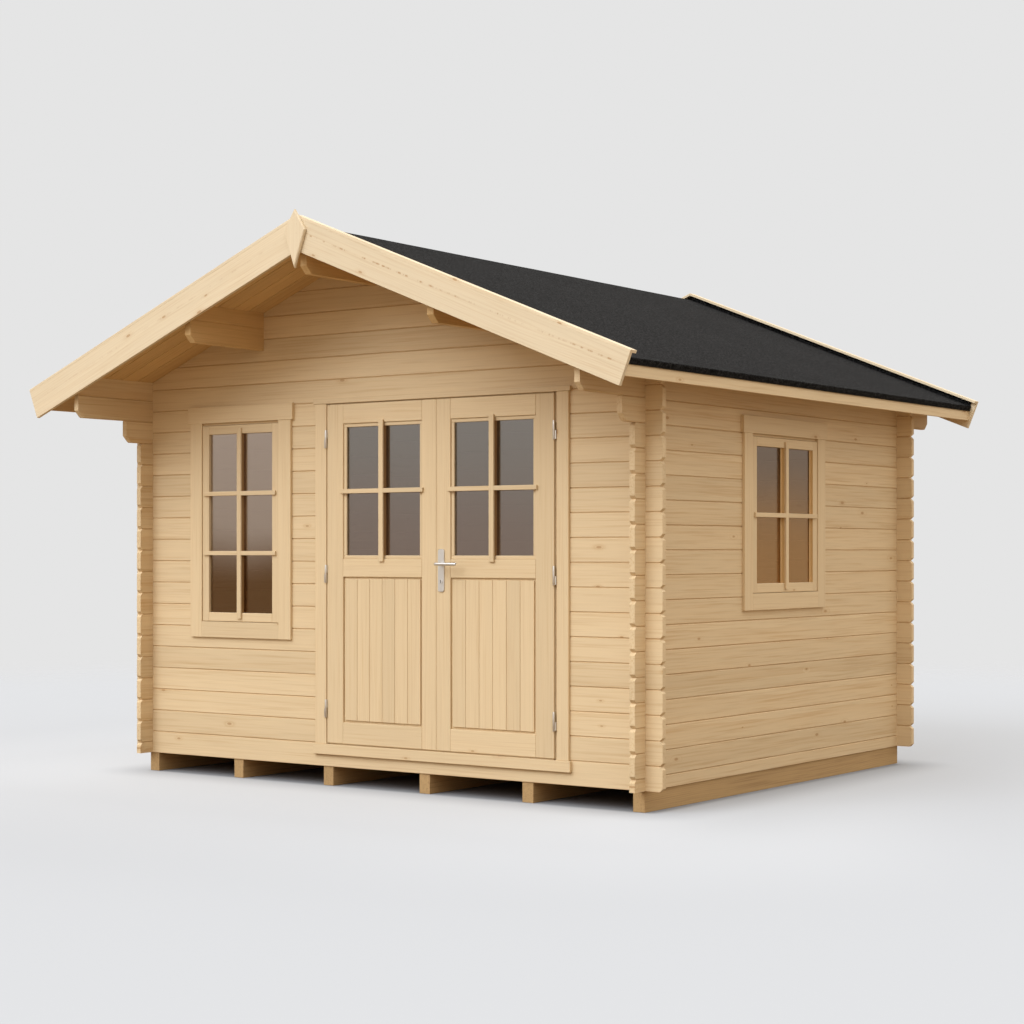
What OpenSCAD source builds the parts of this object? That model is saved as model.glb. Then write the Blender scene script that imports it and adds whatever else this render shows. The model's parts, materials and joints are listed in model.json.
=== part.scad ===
// Garden chalet of interlocking logs, with a felted gable roof that reaches out over a
// glazed double door, a tall front window and a side window. Lengths are in millimetres.
// It is drawn with the outer face of the front wall at y = 0, then centred over the ground.
// +X is to the right of the front, -Y is the way the front faces and +Z is up.

/* [Walls] */
// Width over the outer faces of the side walls
wall_w = 3130; // [2900:10:3600]
// Depth over the outer faces of the front and rear walls
wall_d = 2664; // [2200:10:3400]
// Thickness of the logs
wall_t = 28; // [24:1:34]
// Face height of one log
log_h = 114; // [110:1:125]
// How far the log ends run past a corner
log_tail = 90; // [60:1:120]
// Depth of the groove where two logs meet
joint_groove = 4; // [2:0.5:6]
// Chamfer on the corners of a log end
tail_chamfer = 15; // [6:1:22]
// Fewest whole logs in a side wall, over its first half log and under its plate
side_logs = 16; // [16:1:18]

/* [Base] */
// Height of the bearers under the walls and floor
bearer_h = 98; // [60:1:140]
// Width of a bearer
bearer_w = 63; // [45:1:90]
// Number of bearers
bearer_count = 6; // [4:1:8]
// How far the bearers stay inside the wall faces
bearer_inset = 6; // [0:1:20]
// Thickness of the floor boards
floor_t = 19; // [16:1:28]
// Room left between the floor and the walls
floor_gap = 5; // [2:1:10]

/* [Roof] */
// Slope of the roof in degrees
roof_pitch = 21.8; // [18:0.1:25]
// Height of the wall plate at the outer face of a side wall
plate_h = 88; // [60:1:110]
// Reach of the roof boards in front of the front wall
front_overhang = 562; // [400:1:700]
// Reach of the roof boards behind the rear wall
rear_overhang = 410; // [200:1:600]
// Reach of the roof boards past a side wall, measured level
eave_overhang = 240; // [150:1:300]
// Thickness of the roof boards
roof_board_t = 19; // [16:1:24]
// Thickness of the felt
felt_t = 6; // [3:0.5:10]
// Depth of the felt turned down over the eaves
felt_drip = 30; // [26:1:40]
// Depth of the eave boards under the roof boards
eave_board_h = 58; // [40:1:80]
// Thickness of the eave boards
eave_board_t = 19; // [14:1:28]
// Depth of the bargeboards, without their capping
barge_h = 146; // [110:1:180]
// Thickness of the bargeboards
barge_t = 19; // [14:1:28]
// How far the bargeboards stand above the felt
barge_rise = 23; // [5:1:40]
// How far the bargeboards run past the ends of the roof boards
barge_run = 28; // [20:1:100]
// Thickness of the capping on the bargeboards
cap_t = 14; // [8:1:20]
// Width of the capping on the bargeboards
cap_w = 48; // [35:1:90]
// Width of the kite-shaped finial at the front apex
finial_w = 130; // [90:1:180]
// Height of the finial from tip to tip
finial_h = 276; // [200:1:340]
// Height of the finial's upper tip above the meeting point of the cappings
finial_rise = 22; // [5:1:50]
// Thickness of the finial
finial_t = 19; // [14:1:28]

/* [Purlins and plates] */
// Width of the purlins
purlin_w = 38; // [30:1:60]
// Depth of the ridge purlin under the roof boards
ridge_purlin_h = 207; // [150:1:240]
// Depth of the side purlins under the roof boards, at their middle
side_purlin_h = 184; // [140:1:220]
// Distance of the side purlins from the middle of the roof
side_purlin_x = 756; // [600:1:900]
// How far the purlins and plates stop short of the bargeboards
purlin_short = 30; // [0:1:40]
// Size of the bevel on the lower corners of the purlin and plate ends
end_bevel = 36; // [10:1:50]
// Reach of the corbel log in front of the front wall
corbel_tail = 193; // [120:1:300]

/* [Double door] */
// Middle of the door, to the right of the middle of the front
door_x = 391; // [300:1:450]
// Width of the doorway between the jambs
door_w = 1388; // [1200:1:1450]
// Height of the doorway between the sill and the head
door_h = 1704; // [1600:1:1730]
// Height of the cut log under the door sill
threshold_h = 60; // [30:1:80]
// Height of the door sill
sill_h = 52; // [30:1:70]
// Height of the door head
head_h = 24; // [18:1:40]
// Width of a jamb seen from outside
jamb_face = 74; // [60:1:90]
// Width of the part of a jamb that fills the wall
jamb_core = 49; // [30:1:58]
// How far the door frame stands proud of the logs, inside and outside
frame_proud = 15; // [8:1:24]
// How far the head and the sill reach past the jambs
frame_lap = 10; // [0:1:20]
// How far the head and the sill stand in front of the jambs
frame_lip = 4; // [0:1:10]
// Width of the stop behind the leaves
stop_w = 14; // [8:1:20]
// Gap round the leaves
leaf_gap = 6; // [5:0.5:8]
// Thickness of a leaf
leaf_t = 40; // [34:1:42]
// Width of the stile on the hinge side
hinge_stile_w = 104; // [80:1:130]
// Width of the stile where the leaves meet
meeting_stile_w = 84; // [70:1:110]
// How much the back of a meeting edge is planed off, so that the leaves swing past each other
meeting_bevel = 3; // [2:0.5:6]
// Height of the top rail
top_rail_h = 98; // [80:1:140]
// Height of the middle rail
middle_rail_h = 89; // [80:1:140]
// Height of the bottom rail
bottom_rail_h = 108; // [80:1:160]
// Height of the boarded lower panel
panel_h = 724; // [600:1:850]
// Thickness of the boarded lower panel
panel_t = 16; // [10:1:20]
// Number of boards across a panel
panel_boards = 6; // [4:1:8]
// Depth of the groove between two panel boards
panel_groove = 3; // [1:0.5:4]
// Width of the beads that hold the door glass
bead_w = 18; // [10:1:25]
// Depth of the beads behind the face of the leaf
bead_recess = 7; // [3:1:10]

/* [Hinges and handle] */
// Radius of a hinge knuckle
knuckle_r = 6; // [5:0.5:8]
// Height of a hinge, both knuckles together
hinge_h = 92; // [60:1:120]
// Radius of a hinge pin
hinge_pin_r = 3; // [2:0.5:4]
// Distance from the ends of a leaf to the middle of its outer hinges
hinge_inset = 172; // [120:1:260]
// Reach of a hinge lug over the jamb or the leaf
lug_w = 13; // [9:1:20]
// Height of the lever above the bottom of the leaf
lever_z = 898; // [800:1:1000]
// Distance of the lever from the meeting edge of the leaf
lever_in = 31; // [28:1:50]
// Length of the lever's grip
lever_len = 124; // [90:1:140]
// Radius of the lever's grip and spindle
lever_r = 8; // [6:0.5:10]
// Distance from the leaf's face to the middle of the grip
lever_reach = 58; // [35:1:60]
// Width of a handle plate
plate_w = 38; // [28:1:50]
// Height of a handle plate
plate_len = 206; // [160:1:240]
// Distance from the lever up to the top of a handle plate
plate_top = 72; // [40:1:90]
// Thickness of a handle plate
handle_plate_t = 4; // [2:0.5:6]
// Radius of the key cylinder's rose on a handle plate
rose_r = 11; // [8:0.5:14]
// How far the rose stands proud of its handle plate
rose_proud = 2; // [1:0.5:4]
// Distance from the lever down to the key cylinder
key_drop = 84; // [60:1:110]

/* [Windows] */
// Middle of the front window, to the right of the middle of the front
window_x = -893; // [-950:1:-850]
// Width of the front window's sash
window_w = 534; // [450:1:600]
// Height of the front window's sash
window_h = 1021; // [800:1:1200]
// Height of the logs over the front window
window_drop = 93; // [60:1:140]
// Middle of the side window, behind the front wall's face
side_window_y = 1316; // [1200:1:1400]
// Width of the side window's sash
side_window_w = 686; // [500:1:800]
// Height of the side window's sash
side_window_h = 766; // [600:1:900]
// Width of the casings round a window
casing_w = 84; // [60:1:100]
// Thickness of the casings, which also stand inside
casing_t = 15; // [10:1:20]
// Width of the frame that fills the wall round a sash
window_core = 14; // [10:1:40]
// Gap between a sash and its frame
sash_gap = 2; // [1:0.5:4]
// Width of the sash members
sash_w = 46; // [36:1:60]
// Thickness of the sash members
sash_t = 34; // [28:1:38]
// How far a sash lies behind the face of its casing
sash_recess = 5; // [0:1:10]
// How far a header reaches past the casings under it
header_lap = 15; // [5:1:30]
// How far a header stands in front of the casings
header_lip = 4; // [0:1:10]
// Thickness of the glass
glass_t = 4; // [3:0.5:6]
// How far the glass reaches into what holds it
glass_bite = 8; // [4:1:12]

/* [Hidden] */

$fn = 48;
// Overrun of every cut
cut = 10;
// Running clearance round hinge pins and the lever's spindle
running_clearance = 0.1;
// Clearance between the two knuckles of a hinge
knuckle_gap = 0.5;
// Room left where a piece meets the slope of the roof
seat_gap = 0.2;
// Share of a log's height that is left where two logs cross
neck_share = 0.5;
// Share of a log's height that the last joint keeps from the ridge
ridge_log_share = 0.25;
// Share of the finial's height that lies above its widest place
finial_upper_share = 0.36;

// The door, with its leaves flush with the front of the frame
wall_base = bearer_h;
sill_z = wall_base + threshold_h;
doorway_z = sill_z + sill_h;
head_z = doorway_z + door_h;
lintel_z = head_z + head_h;
door_x0 = door_x - door_w / 2;
door_x1 = door_x + door_w / 2;
hole_x0 = door_x0 - jamb_core;
hole_x1 = door_x1 + jamb_core;
frame_front = -frame_proud;
frame_back = wall_t + frame_proud;
leaf_back = frame_front + leaf_t;
stop_y = leaf_back + leaf_gap;
leaf_w = (door_w - 3 * leaf_gap) / 2;
leaf_h = door_h - 2 * leaf_gap;
leaf_z = doorway_z + leaf_gap;
leaf_edge = door_w / 2 - leaf_gap;
panel_z = leaf_z + bottom_rail_h;
glazing_z = panel_z + panel_h + middle_rail_h;
glazing_h = leaf_z + leaf_h - top_rail_h - glazing_z;
field_w = leaf_w - hinge_stile_w - meeting_stile_w;
field_x = leaf_edge - hinge_stile_w - field_w;
panel_recess = (leaf_t - panel_t) / 2;
glass_y = frame_front + (leaf_t - glass_t) / 2;

// Levels of the walls and roof, with as many logs as it takes to close over the door
door_logs = ceil((lintel_z - wall_base - log_h / 2) / log_h);
wall_logs = max(side_logs, door_logs);
plate_joint = wall_base + log_h / 2 + wall_logs * log_h;
corbel_joint = plate_joint - 2 * log_h;
roof_slope = tan(roof_pitch);
ridge_z = plate_joint + plate_h + roof_slope * wall_w / 2;
end_x = wall_w / 2 + log_tail;
end_joints = [for (z = [wall_base : log_h : ridge_z - log_h * ridge_log_share]) z];
side_joints = [for (k = [0 : wall_logs]) wall_base + log_h / 2 + k * log_h];
inner_x = wall_w / 2 - wall_t;

// The roof is drawn along its slope, from the ridge down, and square to it, from the boards' underside up
board_run = (wall_w / 2 + eave_overhang) / cos(roof_pitch);
felt_top = roof_board_t + felt_t;
barge_top = felt_top + barge_rise;
barge_low = barge_top - barge_h;
cap_top = barge_top + cap_t;
roof_front = -front_overhang;
roof_rear = wall_d + rear_overhang;
barge_front = roof_front - barge_t;
centre_y = (barge_front - finial_t + roof_rear + barge_t) / 2;
plate_front = roof_front + purlin_short;
plate_rear = roof_rear - purlin_short;
side_purlin_low = ridge_z - roof_slope * side_purlin_x - side_purlin_h;

// Hinges, with their pins in front of the gap between jamb and leaf
hinge_x = door_w / 2 - leaf_gap / 2;
hinge_y = frame_front - knuckle_r;
hinge_levels = [leaf_z + hinge_inset, leaf_z + leaf_h / 2, leaf_z + leaf_h - hinge_inset];
lever_x = leaf_gap / 2 + lever_in;
lever_level = leaf_z + lever_z;

// Windows hang from the logs over them
window_z = lintel_z - window_drop - window_core - window_h;
side_window_z = corbel_joint - window_core - side_window_h;
sash_y = sash_recess - casing_t;
sash_glass_y = sash_y + (sash_t - glass_t) / 2;
window_x0 = window_x - window_w / 2 - window_core;
window_x1 = window_x + window_w / 2 + window_core;
window_low = window_z - window_core;
window_high = window_z + window_h + window_core;
side_window_y0 = side_window_y - side_window_w / 2 - window_core;
side_window_y1 = side_window_y + side_window_w / 2 + window_core;
side_window_low = side_window_z - window_core;

pine = "burlywood";
shaded_pine = "peru";
steel = "silver";

function roof_under(x) = ridge_z - roof_slope * abs(x);
function reversed(list) = [for (i = [len(list) - 1 : -1 : 0]) list[i]];
// A point along the right-hand roof slope, with its height over the underside of the boards
function on_slope(run, rise) = [
    run * cos(roof_pitch) + rise * sin(roof_pitch),
    ridge_z - run * sin(roof_pitch) + rise * cos(roof_pitch)
];
// Where a line at that height meets the plumb cut over the ridge
function ridge_run(rise) = -rise * roof_slope;

module centred() {
    translate([0, -centre_y, 0]) children();
}

module box(low, high) {
    translate(low) cube(high - low);
}

// A flat shape drawn in x and z that stands from y0 to y1
module across_y(y0, y1) {
    translate([0, y1, 0]) rotate([90, 0, 0]) linear_extrude(y1 - y0) children();
}

// A flat shape drawn in y and z that stands from x0 to x1
module across_x(x0, x1) {
    translate([x0, 0, 0]) rotate([90, 0, 90]) linear_extrude(x1 - x0) children();
}

module mirrored_x(side) {
    mirror([side < 0 ? 1 : 0, 0, 0]) children();
}

// Logs

// Section of a log stack, grooved on both faces where two logs meet, with its top at two heights
module log_section(joints, top_near, top_far) {
    inner_joints = [for (z = joints) if (z > wall_base) z];
    polygon(concat(
        [[0, wall_base]],
        [for (z = inner_joints) each
            [[0, z - joint_groove], [joint_groove, z], [0, z + joint_groove]]],
        [[0, top_near], [wall_t, top_far]],
        [for (z = reversed(inner_joints)) each
            [[wall_t, z + joint_groove], [wall_t - joint_groove, z], [wall_t, z - joint_groove]]],
        [[wall_t, wall_base]]
    ));
}

// The diamond that chamfers the two log ends that meet at a joint
module end_chamfer(along, z) {
    translate([along, z]) rotate(45) square(tail_chamfer * sqrt(2), center = true);
}

// The notch that lets a crossing log's neck through
module neck_notch(along, z) {
    translate([along - wall_t / 2, z - log_h * neck_share / 2]) square([wall_t, log_h * neck_share]);
}

// Front and rear walls seen from the front: logs with notched corners, under the roof line
module end_elevation() {
    corner_joints = [for (z = end_joints) if (z < roof_under(inner_x) + log_h / 2) z];
    difference() {
        polygon([
            [-end_x, wall_base], [end_x, wall_base], [end_x, roof_under(end_x)],
            [0, ridge_z], [-end_x, roof_under(end_x)]
        ]);
        for (side = [-1, 1], z = corner_joints) {
            end_chamfer(side * end_x, z);
            neck_notch(side * (wall_w - wall_t) / 2, z);
        }
        for (x = [-wall_w / 2, inner_x])
            translate([x, plate_joint + log_h * neck_share / 2]) square([wall_t, plate_h + log_h]);
        ridge_purlin_section();
        for (side = [-1, 1]) mirror([side < 0 ? 1 : 0, 0]) side_purlin_section();
    }
}

// A piece of a front or rear wall, between two uprights and two levels
module end_wall_piece(y0, x0, x1, z0, z1) {
    color(pine) centred() intersection() {
        across_x(x0, x1) translate([y0, 0]) log_section(end_joints, ridge_z, ridge_z);
        across_y(y0, y0 + wall_t) intersection() {
            end_elevation();
            translate([x0, z0]) square([x1 - x0, z1 - z0]);
        }
    }
}

// Side walls seen from the side, up to the corbel log
module side_elevation() {
    difference() {
        translate([-log_tail, wall_base]) square([wall_d + 2 * log_tail, corbel_joint - wall_base]);
        for (end = [-log_tail, wall_d + log_tail], z = side_joints) end_chamfer(end, z);
        side_notches();
    }
}

// Notches in a side wall for the necks of the front and rear logs
module side_notches() {
    for (along = [wall_t / 2, wall_d - wall_t / 2], z = side_joints) neck_notch(along, z);
}

// A bar seen from the side, with its lower corners bevelled at both ends
module bevelled_bar(y0, y1, z0, z1) {
    polygon([
        [y0 + end_bevel, z0], [y1 - end_bevel, z0], [y1, z0 + end_bevel],
        [y1, z1], [y0, z1], [y0, z0 + end_bevel]
    ]);
}

// The corbel log, the long log over it and the wall plate, seen from the side
module plate_elevation() {
    difference() {
        union() {
            bevelled_bar(plate_front, plate_rear, corbel_joint + log_h, ridge_z);
            bevelled_bar(-corbel_tail, wall_d + log_tail, corbel_joint, plate_joint);
        }
        side_notches();
    }
}

// A piece of a side wall, between two uprights and two levels
module side_wall_piece(side, y0, y1, z0, z1) {
    color(pine) centred() mirrored_x(side) intersection() {
        across_y(y0, y1) translate([inner_x, 0])
            log_section(side_joints, roof_under(inner_x), roof_under(wall_w / 2));
        across_x(inner_x, wall_w / 2) intersection() {
            children();
            translate([y0, z0]) square([y1 - y0, z1 - z0]);
        }
    }
}

module front_wall_left() end_wall_piece(0, -end_x, window_x0, wall_base, lintel_z);
module front_wall_window_sill() end_wall_piece(0, window_x0, window_x1, wall_base, window_low);
module front_wall_over_window() end_wall_piece(0, window_x0, window_x1, window_high, lintel_z);
module front_wall_middle() end_wall_piece(0, window_x1, hole_x0, wall_base, lintel_z);
module front_wall_right() end_wall_piece(0, hole_x1, end_x, wall_base, lintel_z);
module front_wall_threshold() end_wall_piece(0, hole_x0, hole_x1, wall_base, sill_z);
module front_gable() end_wall_piece(0, -end_x, end_x, lintel_z, ridge_z);
module rear_wall() end_wall_piece(wall_d - wall_t, -end_x, end_x, wall_base, lintel_z);
module rear_gable() end_wall_piece(wall_d - wall_t, -end_x, end_x, lintel_z, ridge_z);

module left_wall()
    side_wall_piece(-1, -log_tail, wall_d + log_tail, wall_base, corbel_joint) side_elevation();
module right_wall_front()
    side_wall_piece(1, -log_tail, side_window_y0, wall_base, corbel_joint) side_elevation();
module right_wall_rear()
    side_wall_piece(1, side_window_y1, wall_d + log_tail, wall_base, corbel_joint) side_elevation();
module right_wall_window_sill()
    side_wall_piece(1, side_window_y0, side_window_y1, wall_base, side_window_low) side_elevation();
module left_wall_plate()
    side_wall_piece(-1, plate_front, plate_rear, corbel_joint, ridge_z) plate_elevation();
module right_wall_plate()
    side_wall_piece(1, plate_front, plate_rear, corbel_joint, ridge_z) plate_elevation();

// Base

module bearers() {
    first_x = -wall_w / 2 + bearer_inset;
    pitch = (wall_w - 2 * bearer_inset - bearer_w) / (bearer_count - 1);
    color(shaded_pine) centred() for (i = [0 : bearer_count - 1])
        translate([first_x + i * pitch, bearer_inset, 0])
            cube([bearer_w, wall_d - 2 * bearer_inset, bearer_h]);
}

module floor_boards() {
    color(pine) centred() box(
        [-inner_x + floor_gap, wall_t + floor_gap, bearer_h],
        [inner_x - floor_gap, wall_d - wall_t - floor_gap, bearer_h + floor_t]
    );
}

// Roof

module ridge_purlin_section() {
    half = purlin_w / 2;
    low = ridge_z - ridge_purlin_h;
    polygon([[-half, low], [half, low], [half, roof_under(half)], [0, ridge_z], [-half, roof_under(half)]]);
}

module side_purlin_section() {
    x0 = side_purlin_x - purlin_w / 2;
    x1 = side_purlin_x + purlin_w / 2;
    polygon([
        [x0, side_purlin_low], [x1, side_purlin_low], [x1, roof_under(x1)], [x0, roof_under(x0)]
    ]);
}

// The grooves on both faces of a purlin, where its two logs meet
module purlin_joints(x, low) {
    for (face = [x - purlin_w / 2, x + purlin_w / 2])
        translate([face, low + log_h]) rotate(45) square(joint_groove * sqrt(2), center = true);
}

// A purlin over the whole depth of the roof, with its lower ends bevelled
module purlin(x, low) {
    color(shaded_pine) centred() intersection() {
        across_y(plate_front, plate_rear) difference() {
            children();
            purlin_joints(x, low);
        }
        across_x(x - purlin_w, x + purlin_w) bevelled_bar(plate_front, plate_rear, low, ridge_z);
    }
}

module ridge_purlin() purlin(0, ridge_z - ridge_purlin_h) ridge_purlin_section();
module right_purlin() purlin(side_purlin_x, side_purlin_low) side_purlin_section();
module left_purlin() purlin(-side_purlin_x, side_purlin_low) mirror([1, 0]) side_purlin_section();

// A board lying along a roof slope between two heights over it, with a plumb cut at the ridge
module slope_board(side, low, high, run, y0, y1) {
    mirrored_x(side) across_y(y0, y1) polygon([
        on_slope(ridge_run(low), low), on_slope(run, low), on_slope(run, high), on_slope(ridge_run(high), high)
    ]);
}

module roof_boards(side) {
    color(pine) centred() slope_board(side, 0, roof_board_t, board_run, roof_front, roof_rear);
}

// Felt over the boards, turned down at the eaves
module felt(side) {
    color("dimgray") centred() mirrored_x(side) across_y(roof_front, roof_rear) polygon([
        on_slope(ridge_run(roof_board_t), roof_board_t),
        on_slope(board_run, roof_board_t),
        on_slope(board_run, felt_top - felt_drip),
        on_slope(board_run + felt_t, felt_top - felt_drip),
        on_slope(board_run + felt_t, felt_top),
        on_slope(ridge_run(felt_top), felt_top)
    ]);
}

// Eave board under the ends of the roof boards, behind the felt that is turned down over it
module eave_board(side) {
    outer = on_slope(board_run, felt_top - felt_drip)[0] - seat_gap;
    inner = outer - eave_board_t;
    low = roof_under(outer) - eave_board_h;
    color(pine) centred() mirrored_x(side) across_y(roof_front, roof_rear) polygon([
        [inner, low], [outer, low],
        [outer, roof_under(outer) - seat_gap], [inner, roof_under(inner) - seat_gap]
    ]);
}

// Bargeboard with its capping, which reaches back over the felt
module bargeboard(side, y0, cap_y0) {
    run = board_run + barge_run;
    color("wheat") centred() {
        slope_board(side, barge_low, barge_top, run, y0, y0 + barge_t);
        slope_board(side, barge_top, cap_top, run, cap_y0, cap_y0 + cap_w);
    }
}

module front_bargeboard(side) bargeboard(side, barge_front, barge_front);
module rear_bargeboard(side) bargeboard(side, roof_rear, roof_rear + barge_t - cap_w);

// Kite-shaped finial over the joint of the front bargeboards
module finial() {
    top = ridge_z + cap_top / cos(roof_pitch) + finial_rise;
    widest = top - finial_h * finial_upper_share;
    color("wheat") centred() across_y(barge_front - finial_t, barge_front) polygon([
        [0, top], [-finial_w / 2, widest], [0, top - finial_h], [finial_w / 2, widest]
    ]);
}

module left_roof_boards() roof_boards(-1);
module right_roof_boards() roof_boards(1);
module left_felt() felt(-1);
module right_felt() felt(1);
module left_eave_board() eave_board(-1);
module right_eave_board() eave_board(1);
module front_left_bargeboard() front_bargeboard(-1);
module front_right_bargeboard() front_bargeboard(1);
module rear_left_bargeboard() rear_bargeboard(-1);
module rear_right_bargeboard() rear_bargeboard(1);

// Windows, drawn with the wall's outer face at y = 0 and the foot of the sash at z = 0

// A rectangular ring that reaches past a sash by margin and leaves it open up to a rim
module sash_ring(w, h, margin, rim, y0, y1) {
    difference() {
        box([-w / 2 - margin, y0, -margin], [w / 2 + margin, y1, h + margin]);
        box([-w / 2 - rim, y0 - cut, -rim], [w / 2 + rim, y1 + cut, h + rim]);
    }
}

// Casings inside and outside, joined by the frame that fills the wall and carries the sash
module window_frame(w, h) {
    inside = wall_t + casing_t;
    color(pine) {
        sash_ring(w, h, casing_w, sash_gap, -casing_t, 0);
        sash_ring(w, h, window_core, sash_gap, 0, wall_t);
        sash_ring(w, h, casing_w, sash_gap, wall_t, inside);
        sash_ring(w, h, sash_gap, -stop_w, sash_y + sash_t, inside);
        box(
            [-w / 2 - casing_w - header_lap, -casing_t - header_lip, h + stop_w],
            [w / 2 + casing_w + header_lap, 0, h + casing_w + header_lap]
        );
    }
}

module window_glass(w, h) {
    edge = sash_w - glass_bite;
    color("slategray", 0.6) box(
        [-w / 2 + edge, sash_glass_y, edge],
        [w / 2 - edge, sash_glass_y + glass_t, h - edge]
    );
}

module window_sash(w, h) {
    color(pine) difference() {
        sash_ring(w, h, 0, -sash_w, sash_y, sash_y + sash_t);
        window_glass(w, h);
    }
}

module at_front_window() {
    centred() translate([window_x, 0, window_z]) children();
}

module at_side_window() {
    centred() translate([wall_w / 2, side_window_y, side_window_z]) rotate([0, 0, 90]) children();
}

module front_window_frame() at_front_window() window_frame(window_w, window_h);
module front_window_sash() at_front_window() window_sash(window_w, window_h);
module front_window_glass() at_front_window() window_glass(window_w, window_h);
module side_window_frame() at_side_window() window_frame(side_window_w, side_window_h);
module side_window_sash() at_side_window() window_sash(side_window_w, side_window_h);
module side_window_glass() at_side_window() window_glass(side_window_w, side_window_h);

// Door frame, drawn about the middle of the doorway

module at_door(side) {
    centred() translate([door_x, 0, 0]) mirrored_x(side) children();
}

// A jamb in plan: a channel that takes the log ends, with a stop behind the leaf
module jamb(side) {
    x0 = door_w / 2;
    x1 = x0 + jamb_face;
    core = x0 + jamb_core;
    color(pine) at_door(side) translate([0, 0, doorway_z]) linear_extrude(door_h) polygon([
        [x0, frame_front], [x1, frame_front], [x1, 0], [core, 0], [core, wall_t], [x1, wall_t],
        [x1, frame_back], [x0 - stop_w, frame_back], [x0 - stop_w, stop_y], [x0, stop_y]
    ]);
}

// The head or the sill: laps on both faces of the wall, a core between them and a stop
module cross_member(low, high, stop_low, stop_high) {
    half = door_w / 2;
    color(pine) at_door(1) {
        box(
            [-half - jamb_face - frame_lap, frame_front - frame_lip, low],
            [half + jamb_face + frame_lap, 0, high]
        );
        box([-half - jamb_core, 0, low], [half + jamb_core, wall_t, high]);
        box([-half - jamb_face, wall_t, low], [half + jamb_face, frame_back, high]);
        box([-half + stop_w, stop_y, stop_low], [half - stop_w, frame_back, stop_high]);
    }
}

module door_left_jamb() jamb(-1);
module door_right_jamb() jamb(1);
module door_head() cross_member(head_z, lintel_z, head_z - stop_w, head_z);
module door_sill() cross_member(sill_z, doorway_z, doorway_z, doorway_z + stop_w);

// Leaves, drawn as the right-hand one

module leaf_glass() {
    edge = bead_w - glass_bite;
    color("slategray", 0.6) box(
        [field_x + edge, glass_y, glazing_z + edge],
        [field_x + field_w - edge, glass_y + glass_t, glazing_z + glazing_h - edge]
    );
}

// The grooves between the boards of the lower panel, cut into its face at y
module panel_grooves(y) {
    board_w = field_w / panel_boards;
    for (i = [1 : panel_boards - 1])
        translate([field_x + i * board_w, y, panel_z]) rotate([0, 0, 45])
            translate([-panel_groove / sqrt(2), -panel_groove / sqrt(2), 0])
                cube([panel_groove * sqrt(2), panel_groove * sqrt(2), panel_h]);
}

// Stiles and rails round a beaded window and a boarded panel, with a bevelled meeting edge
module leaf() {
    meeting_edge = leaf_edge - leaf_w;
    field_end = field_x + field_w;
    glazing_end = glazing_z + glazing_h;
    color(pine) difference() {
        translate([0, 0, leaf_z]) linear_extrude(leaf_h) polygon([
            [meeting_edge, frame_front], [leaf_edge, frame_front],
            [leaf_edge, leaf_back], [meeting_edge + meeting_bevel, leaf_back]
        ]);
        for (y = [[frame_front - cut, frame_front + bead_recess], [leaf_back - bead_recess, leaf_back + cut]])
            box([field_x, y[0], glazing_z], [field_end, y[1], glazing_end]);
        for (y = [[frame_front - cut, frame_front + panel_recess], [leaf_back - panel_recess, leaf_back + cut]])
            box([field_x, y[0], panel_z], [field_end, y[1], panel_z + panel_h]);
        box(
            [field_x + bead_w, frame_front - cut, glazing_z + bead_w],
            [field_end - bead_w, leaf_back + cut, glazing_end - bead_w]
        );
        leaf_glass();
        panel_grooves(frame_front + panel_recess);
        panel_grooves(leaf_back - panel_recess);
    }
}

// Hinges: the lower knuckle carries the pin, the upper one turns on it

module knuckle(low, high, reach) {
    translate([hinge_x, hinge_y, low]) cylinder(h = high - low, r = knuckle_r);
    box([min(hinge_x, hinge_x + reach), hinge_y, low], [max(hinge_x, hinge_x + reach), frame_front, high]);
}

module lower_knuckles() {
    for (z = hinge_levels) {
        knuckle(z - hinge_h / 2, z - knuckle_gap / 2, lug_w);
        translate([hinge_x, hinge_y, z - knuckle_gap / 2]) cylinder(h = hinge_h / 2, r = hinge_pin_r);
    }
}

module upper_knuckles() {
    for (z = hinge_levels) difference() {
        knuckle(z + knuckle_gap / 2, z + hinge_h / 2, -lug_w);
        translate([hinge_x, hinge_y, z]) cylinder(h = hinge_h, r = hinge_pin_r + running_clearance);
    }
}

module hinge_pins() {
    color(steel) for (side = [-1, 1]) at_door(side) lower_knuckles();
}

module left_door_leaf() at_door(-1) leaf();
module left_door_glass() at_door(-1) leaf_glass();
module left_hinge_knuckles() color(steel) at_door(-1) upper_knuckles();
module right_door_glass() at_door(1) leaf_glass();
module right_hinge_knuckles() color(steel) at_door(1) upper_knuckles();

// Handle on the right-hand leaf, with a spindle through its meeting stile

// A rod along y at the lever's place
module lever_rod(radius, y0, y1) {
    translate([lever_x, y0, lever_level]) rotate([-90, 0, 0]) cylinder(h = y1 - y0, r = radius);
}

module right_door_leaf() {
    color(pine) at_door(1) difference() {
        leaf();
        lever_rod(lever_r + leaf_gap, frame_front - cut, leaf_back + cut);
    }
}

module handle_plate(y0) {
    rose_y = y0 < 0 ? y0 - rose_proud : y0;
    difference() {
        union() {
            box(
                [lever_x - plate_w / 2, y0, lever_level + plate_top - plate_len],
                [lever_x + plate_w / 2, y0 + handle_plate_t, lever_level + plate_top]
            );
            translate([lever_x, rose_y, lever_level - key_drop]) rotate([-90, 0, 0])
                cylinder(h = handle_plate_t + rose_proud, r = rose_r);
        }
        lever_rod(lever_r + running_clearance, y0 - cut, y0 + handle_plate_t + cut);
    }
}

module handle_plates() {
    color(steel) at_door(1) {
        handle_plate(frame_front - handle_plate_t);
        handle_plate(leaf_back);
    }
}

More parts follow.
